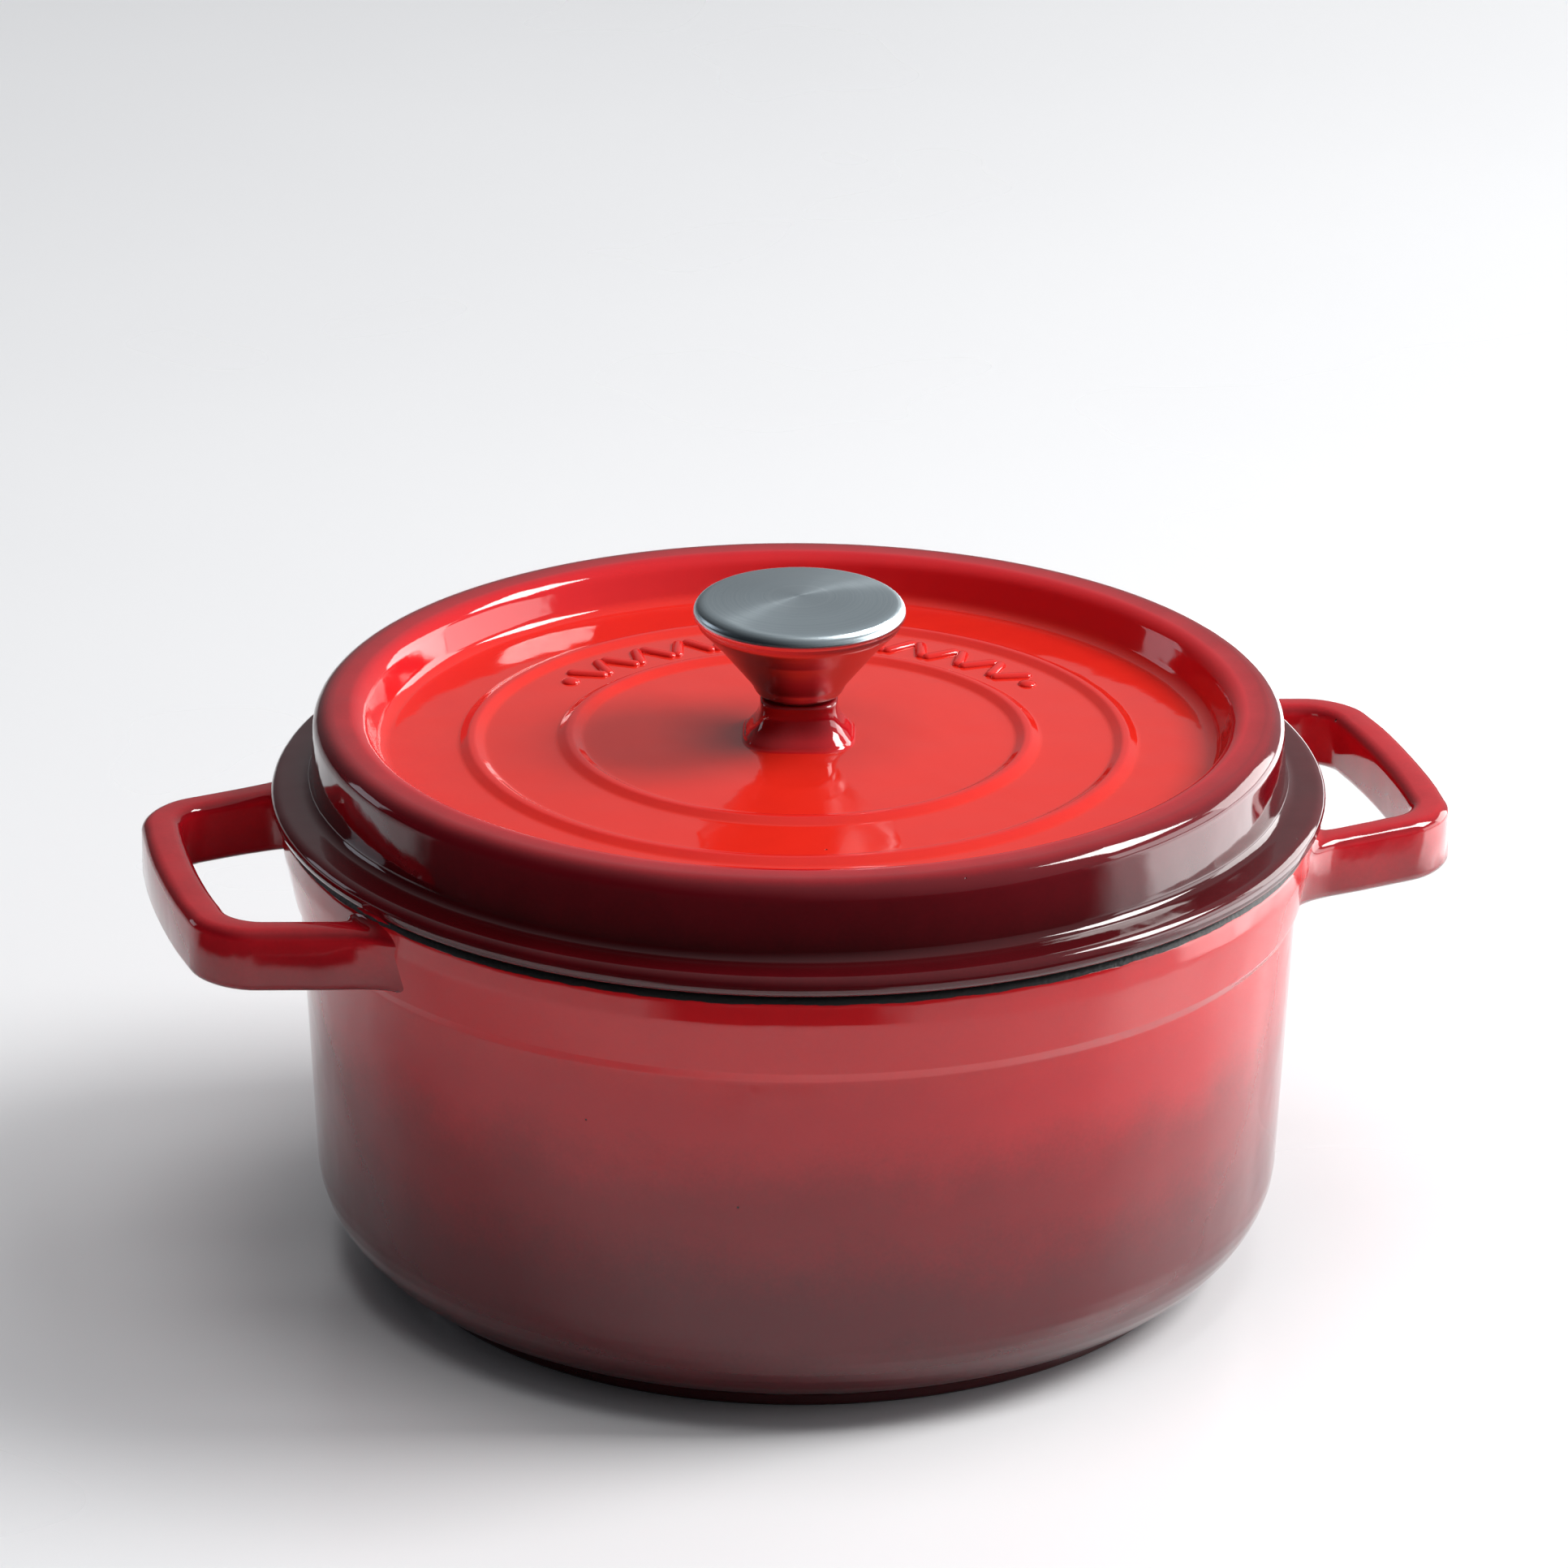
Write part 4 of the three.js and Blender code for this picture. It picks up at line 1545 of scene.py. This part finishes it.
@dataclass
class ScrewSet:
    """The screw that holds the knob, with its two washers."""

    seat: float = 124.0
    head_radius: float = 6.0
    head_height: float = 3.6
    head_round: float = 1.6
    shank_round: float = 0.3
    tip_round: float = 0.6
    core: float = 2.42
    crest: float = 2.98
    tip: float = 154.0
    thread_start: float = 131.0
    pitch: float = 1.0
    ridge_root: float = 0.42
    ridge_flat: float = 0.06
    ridge_sunk: float = 0.15
    steps_per_turn: int = 32
    drive_length: float = 6.4
    drive_width: float = 1.4
    drive_depth: float = 2.0
    bore_gap: float = 0.3
    bore_round: float = 0.2
    washer_round: float = 0.3
    split_width: float = 1.0
    split_lean: float = math.radians(30)
    flat_washer: tuple[float, float, float] = (6.2, 126.2, 127.8)
    spring_washer: tuple[float, float, float] = (5.4, 124.3, 125.9)

    def screw(self) -> BMesh:
        """Makes the screw's head and shank, with a cross drive cut in the head.

        Returns:
            The screw without its thread.
        """
        bottom = self.seat - self.head_height
        corners = (
            Corner(0.0, bottom),
            Corner(self.head_radius, bottom, self.head_round),
            Corner(self.head_radius, self.seat, self.shank_round),
            Corner(self.crest, self.seat),
            Corner(self.crest, self.thread_start - self.pitch, self.shank_round),
            Corner(self.core, self.thread_start, self.shank_round),
            Corner(self.core, self.tip, self.tip_round),
            Corner(0.0, self.tip),
        )
        block = bmesh.new()
        lay_wire(block, corners, False)
        turn_wire(block, FASTENER_STEPS)
        cutter = bmesh.new()
        drive = (self.drive_length, self.drive_width, 2 * self.drive_depth)
        for turn in (0.0, math.pi / 2):
            slot = bmesh.ops.create_cube(cutter, size=1.0)["verts"]
            bmesh.ops.scale(cutter, verts=slot, vec=drive)
            bmesh.ops.rotate(cutter, verts=slot, matrix=Matrix.Rotation(turn, 3, "Z"))
            bmesh.ops.translate(cutter, verts=slot, vec=(0.0, 0.0, bottom))
        return cut_away(block, cutter)

    def thread(self) -> BMesh:
        """Winds the thread's ridge up the shank.

        Returns:
            The ridge.
        """
        bm = bmesh.new()
        root, rise, flat = self.core - self.ridge_sunk, self.pitch * self.ridge_root, self.ridge_flat
        places = ((root, -rise), (self.crest, -flat), (self.crest, flat), (root, rise))
        verts = [bm.verts.new((reach, 0.0, self.thread_start + height)) for reach, height in places]
        face = bm.faces.new(verts)
        turns = int((self.tip - self.thread_start - self.pitch) / self.pitch)
        spin_up(
            bm,
            [face, *face.edges, *verts],
            FULL_TURN * turns,
            turns * self.steps_per_turn,
            climb=self.pitch / self.steps_per_turn,
        )
        bmesh.ops.recalc_face_normals(bm, faces=bm.faces[:])
        return bm

    def washer(self, sizes: tuple[float, float, float]) -> BMesh:
        """Makes a flat ring.

        Args:
            sizes: its outer radius, its lower face and its upper face.

        Returns:
            The ring.
        """
        outer, low, high = sizes
        bore = self.crest + self.bore_gap
        corners = (
            Corner(bore, low, self.bore_round),
            Corner(outer, low, self.washer_round),
            Corner(outer, high, self.washer_round),
            Corner(bore, high, self.bore_round),
        )
        bm = bmesh.new()
        lay_wire(bm, corners, True, 3)
        turn_wire(bm, FASTENER_STEPS)
        return bm

    def split_washer(self) -> BMesh:
        """Makes the spring washer: a ring with a slanted cut through it.

        Returns:
            The ring.
        """
        outer, low, high = self.spring_washer
        cutter = bmesh.new()
        slot = bmesh.ops.create_cube(cutter, size=1.0)["verts"]
        bmesh.ops.scale(cutter, verts=slot, vec=(outer, self.split_width, 4 * (high - low)))
        bmesh.ops.rotate(cutter, verts=slot, matrix=Matrix.Rotation(self.split_lean, 3, "X"))
        bmesh.ops.translate(cutter, verts=slot, vec=(outer * 0.75, 0.0, (low + high) / 2))
        return cut_away(self.washer(self.spring_washer), cutter)

    def build(self, plated: bpy.types.Material) -> None:
        """Makes the screw and its washers.

        Args:
            plated: their finish.
        """
        screw = self.screw()
        merge_mesh(screw, self.thread())
        make_piece("cross_head_screw", screw, plated, Body.SCREW, ("knob_screw",))
        flat = self.washer(self.flat_washer)
        make_piece("plain_washer", flat, plated, Body.SCREW, ("flat_washer",))
        split = self.split_washer()
        make_piece("split_washer", split, plated, Body.SCREW, ("spring_washer",))


# ---------------------------------------------------------------- the studio


@dataclass(frozen=True)
class SoftLight:
    """A rectangular soft light.

    Attributes:
        name: the light's name.
        place: where it stands, in metres: to the right, away from the camera, and up.
        size: its width and height in metres.
        power: its power in watts.
        colour: its colour.
        aim: the place that it points at.
        mirrored: whether glossy surfaces show it.
    """

    name: str
    place: tuple[float, float, float]
    size: tuple[float, float]
    power: float
    colour: tuple[float, float, float]
    aim: tuple[float, float, float] = (0.0, 0.0, 0.08)
    mirrored: bool = True

    def build(self, turn: Matrix) -> None:
        """Hangs the light.

        Args:
            turn: turns the studio's axes onto the dish's.
        """
        data = bpy.data.lights.new(self.name, "AREA")
        data.shape = "RECTANGLE"
        data.size, data.size_y = self.size
        data.energy = self.power
        data.color = self.colour
        light = place_object(self.name, data)
        light.visible_glossy = self.mirrored
        place = turn @ Vector(self.place)
        facing = (place - turn @ Vector(self.aim)).to_track_quat("Z", "Y")
        light.matrix_world = Matrix.Translation(place) @ facing.to_matrix().to_4x4()


@dataclass(frozen=True)
class FloorCard:
    """A flat card on the floor, round part of the dish, that only glossy surfaces show: a painted reflection,
    black or glowing, that lights nothing and casts no shadow.

    Attributes:
        name: the card's name.
        start: its near edge's distance from the dish's axis, in metres.
        end: its far edge's distance.
        first: the bearing of its first end, from the line to the camera.
        last: the bearing of its last end.
        lift: its height above the floor.
        glow: the strength of its light, 0 for a black card.
        full_share: the share of its half span before its ends begin to fade.
        soft_edge: how far its near edge fades.
        ragged: how far that edge wanders.
        ragged_scale: how often it wanders.
        patch_scale: how often its light varies.
        dimmest: the least share of its light.
        steps: the number of steps round it.
    """

    name: str
    start: float
    end: float
    first: float
    last: float
    lift: float
    glow: float
    full_share: float = 0.88
    soft_edge: float = 0.06
    ragged: float = 0.12
    ragged_scale: float = 9.0
    patch_scale: float = 2.5
    dimmest: float = 0.7
    steps: int = 40

    def fade(self, sheet: NodeSheet, turn: Matrix) -> bpy.types.NodeSocket:
        """Builds the mask that softens the card's near edge and its two ends.

        Args:
            sheet: the card material's sheet.
            turn: turns the studio's axes onto the dish's.

        Returns:
            The mask, 1 on the card and 0 at its soft edges.
        """
        place = sheet.add("TexCoord").outputs["Object"]
        wander = sheet.math("SUBTRACT", sheet.noise(place, self.ragged_scale, 3.0, 0.6), 0.5)
        reach = sheet.add("VectorMath", operation="LENGTH")
        sheet.feed(reach.inputs[0], place)
        ragged = sheet.math("MULTIPLY_ADD", wander, self.ragged, reach.outputs["Value"])
        near = sheet.spread(ragged, self.start, self.start + self.soft_edge, 0.0, 1.0)
        heading = sheet.add("VectorMath", operation="NORMALIZE")
        sheet.feed(heading.inputs[0], place)
        middle = turn @ Matrix.Rotation((self.first + self.last) / 2, 3, "Z") @ Vector((0.0, -1.0, 0.0))
        facing = sheet.add("VectorMath", operation="DOT_PRODUCT")
        sheet.feed(facing.inputs[0], heading.outputs["Vector"])
        sheet.feed(facing.inputs[1], tuple(middle))
        half = (self.last - self.first) / 2
        outer, full = math.cos(half), math.cos(half * self.full_share)
        ends = sheet.spread(facing.outputs["Value"], outer, full, 0.0, 1.0)
        return sheet.math("MULTIPLY", near, ends)

    def material(self, turn: Matrix) -> bpy.types.Material:
        """Builds the card's light, or its black when it has none, with an underside that light passes.

        Args:
            turn: turns the studio's axes onto the dish's.

        Returns:
            The material.
        """
        material = bpy.data.materials.new(self.name)
        material.use_nodes = True
        sheet = NodeSheet(material.node_tree)
        shader = material.node_tree.nodes["Principled BSDF"]
        shader.inputs["Base Color"].default_value = (0.01, 0.01, 0.01, 1.0)
        shader.inputs["Roughness"].default_value = 0.9
        shader.inputs["Emission Color"].default_value = (1.0, 0.99, 1.0, 1.0)
        patches = sheet.noise(sheet.add("TexCoord").outputs["Object"], self.patch_scale, 2.0, 0.5)
        glow = sheet.spread(patches, 0.3, 0.7, self.dimmest * self.glow, self.glow)
        sheet.feed(shader.inputs["Emission Strength"], glow)
        underside = sheet.add("NewGeometry").outputs["Backfacing"]
        topside = sheet.math("SUBTRACT", 1.0, underside)
        sheet.feed(shader.inputs["Alpha"], sheet.math("MULTIPLY", topside, self.fade(sheet, turn)))
        return material

    def build(self, turn: Matrix) -> None:
        """Lays the card.

        Args:
            turn: turns the studio's axes onto the dish's.
        """
        bm = bmesh.new()
        near = bm.verts.new((0.0, -self.start, self.lift))
        far = bm.verts.new((0.0, -self.end, self.lift))
        edge = bm.edges.new((near, far))
        bmesh.ops.rotate(bm, matrix=turn @ Matrix.Rotation(self.first, 3, "Z"), verts=bm.verts[:])
        spin_up(bm, [near, far, edge], self.last - self.first, self.steps)
        bm.normal_update()
        downward = [face for face in bm.faces if face.normal.z < 0]
        bmesh.ops.reverse_faces(bm, faces=downward)
        mesh = take_mesh(self.name, bm)
        mesh.materials.append(self.material(turn))
        card = place_object(self.name, mesh)
        card.visible_camera = False
        card.visible_shadow = False
        card.visible_diffuse = False


@dataclass
class Studio:
    """A pale floor, soft lights and the camera, all set round the line of sight."""

    turn_angle: float = math.radians(-14.75)
    camera_distance: float = 1.8113
    camera_height: float = 0.831
    camera_pitch: float = math.radians(21.467)
    camera_yaw: float = math.radians(-0.111)
    camera_roll: float = math.radians(0.286)
    lens: float = 184.5
    sensor: float = 36.0
    floor_size: float = 9.0
    sky_side: tuple[float, float, float] = (0.8, 0.3, 0.5)
    sky_strength: float = 0.42
    sky_dim: Colour = (0.03, 0.033, 0.04, 1.0)
    sky_bright: Colour = (0.95, 0.97, 1.0, 1.0)
    # The cards are painted reflections: two black cards and one glowing card, seen only in glossy surfaces.
    cards: tuple[FloorCard, ...] = (
        FloorCard("dark_card", 0.39, 3.4, math.radians(-94), math.radians(72), 0.002, 0.0),
        FloorCard("near_dark_card", 0.27, 0.42, math.radians(-30), math.radians(22), 0.003, 0.0, 0.6),
        FloorCard("bright_card", 0.31, 1.8, math.radians(76), math.radians(170), 0.002, 4.5),
    )
    lights: tuple[SoftLight, ...] = (
        SoftLight("key_right", (1.8, 0.2, 1.75), (1.0, 1.0), 60.0, (1.0, 0.985, 0.97)),
        SoftLight("window_right", (1.75, 1.25, 0.55), (1.1, 1.0), 18.0, (1.0, 0.99, 0.98)),
        SoftLight("overhead", (0.0, -0.2, 2.2), (1.4, 1.2), 17.0, (1.0, 0.99, 0.98), mirrored=False),
        SoftLight("low_right", (1.95, 0.1, 0.4), (1.3, 0.6), 8.0, (1.0, 0.99, 1.0)),
        SoftLight("left_wall", (-1.9, 0.9, 0.5), (0.6, 0.6), 1.5, (0.85, 0.9, 1.0)),
    )

    def build(self) -> None:
        """Makes the floor, the surroundings, the lights and the camera."""
        turn = Matrix.Rotation(self.turn_angle, 3, "Z")
        self.floor()
        for card in self.cards:
            card.build(turn)
        self.surroundings(turn)
        for light in self.lights:
            light.build(turn)
        self.camera(turn)
        scene = bpy.context.scene
        scene.view_settings.view_transform = "Standard"
        scene.view_settings.look = "None"
        log.info("studio: %d lights", len(self.lights))

    def floor(self) -> None:
        """Lays the floor."""
        bm = bmesh.new()
        bmesh.ops.create_grid(bm, x_segments=8, y_segments=8, size=self.floor_size / 2)
        mesh = take_mesh("floor", bm)
        mesh.materials.append(Tabletop().material())
        place_object("floor", mesh)

    def surroundings(self, turn: Matrix) -> None:
        """Sets a soft sky that is bright behind on the right and dim in front.

        Args:
            turn: turns the studio's axes onto the dish's.
        """
        world = bpy.data.worlds.new("soft_room")
        world.use_nodes = True
        bpy.context.scene.world = world
        sheet = NodeSheet(world.node_tree)
        heading = sheet.add("TexCoord").outputs["Generated"]
        bright_side = sheet.add("VectorMath", operation="DOT_PRODUCT")
        sheet.feed(bright_side.inputs[0], heading)
        sheet.feed(bright_side.inputs[1], tuple(turn @ Vector(self.sky_side)))
        share = sheet.spread(bright_side.outputs["Value"], -0.6, 1.0, 0.0, 1.0)
        colour = sheet.tint(share, self.sky_dim, self.sky_bright)
        background = world.node_tree.nodes["Background"]
        sheet.feed(background.inputs["Color"], colour)
        background.inputs["Strength"].default_value = self.sky_strength

    def camera(self, turn: Matrix) -> None:
        """Sets up the camera.

        Args:
            turn: turns the studio's axes onto the dish's.
        """
        data = bpy.data.cameras.new("camera")
        data.lens = self.lens
        data.sensor_width = self.sensor
        data.clip_end = 30.0
        camera = place_object("camera", data)
        place = turn @ Vector((0.0, -self.camera_distance, self.camera_height))
        heading = Matrix.Rotation(self.turn_angle - self.camera_yaw, 4, "Z")
        tilt = Matrix.Rotation(math.pi / 2 - self.camera_pitch, 4, "X")
        roll = Matrix.Rotation(self.camera_roll, 4, "Z")
        camera.matrix_world = Matrix.Translation(place) @ heading @ tilt @ roll
        bpy.context.scene.camera = camera


def dress_frame_node(name: str, material: bpy.types.Material) -> None:
    """Gives a CAD node that is shown as it is its finish.

    Args:
        name: the node's name.
        material: its finish.
    """
    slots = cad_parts[name].data.materials
    slots.clear()
    slots.append(material)
    log.info("%s: kept from the design", name)


def main() -> None:
    """Builds every sub-assembly in order."""
    logging.basicConfig(level=logging.INFO, format="%(name)s: %(message)s")
    effects = SurfaceEffects()
    pot_enamel = FiredEnamel("pot_fired_enamel").material(effects)
    lid_enamel = FiredEnamel("lid_fired_enamel", mottle=0.1).material(effects)
    matte = MatteEnamel("matte_black_enamel").material(effects)
    cone_steel = TurnedSteel(
        "satin_cone_steel", dark=(0.46, 0.44, 0.44, 1.0), light=(0.56, 0.54, 0.54, 1.0)
    ).material(effects)
    cap_steel = TurnedSteel(
        "turned_cap_steel", dark=(0.60, 0.71, 0.76, 1.0), light=(0.72, 0.82, 0.86, 1.0), anisotropy=0.88
    ).material(effects)
    plated = PlatedSteel("plated_steel").material(effects)

    pot = Pot()
    pot.build(pot_enamel)
    SideHandle(pot, side=1).build(pot_enamel, "handle_right")
    SideHandle(pot, side=-1).build(pot_enamel, "handle_left")
    lid = Lid()
    lid.build(lid_enamel)
    Boss().build(lid_enamel)
    DripStuds(lid).build(matte)
    FloorOrnament(lid).build(lid_enamel)
    Knob().build(cone_steel, cap_steel)
    dress_frame_node("knob_sleeve", plated)
    ScrewSet().build(plated)
    Studio().build()


if __name__ == "__main__":
    main()
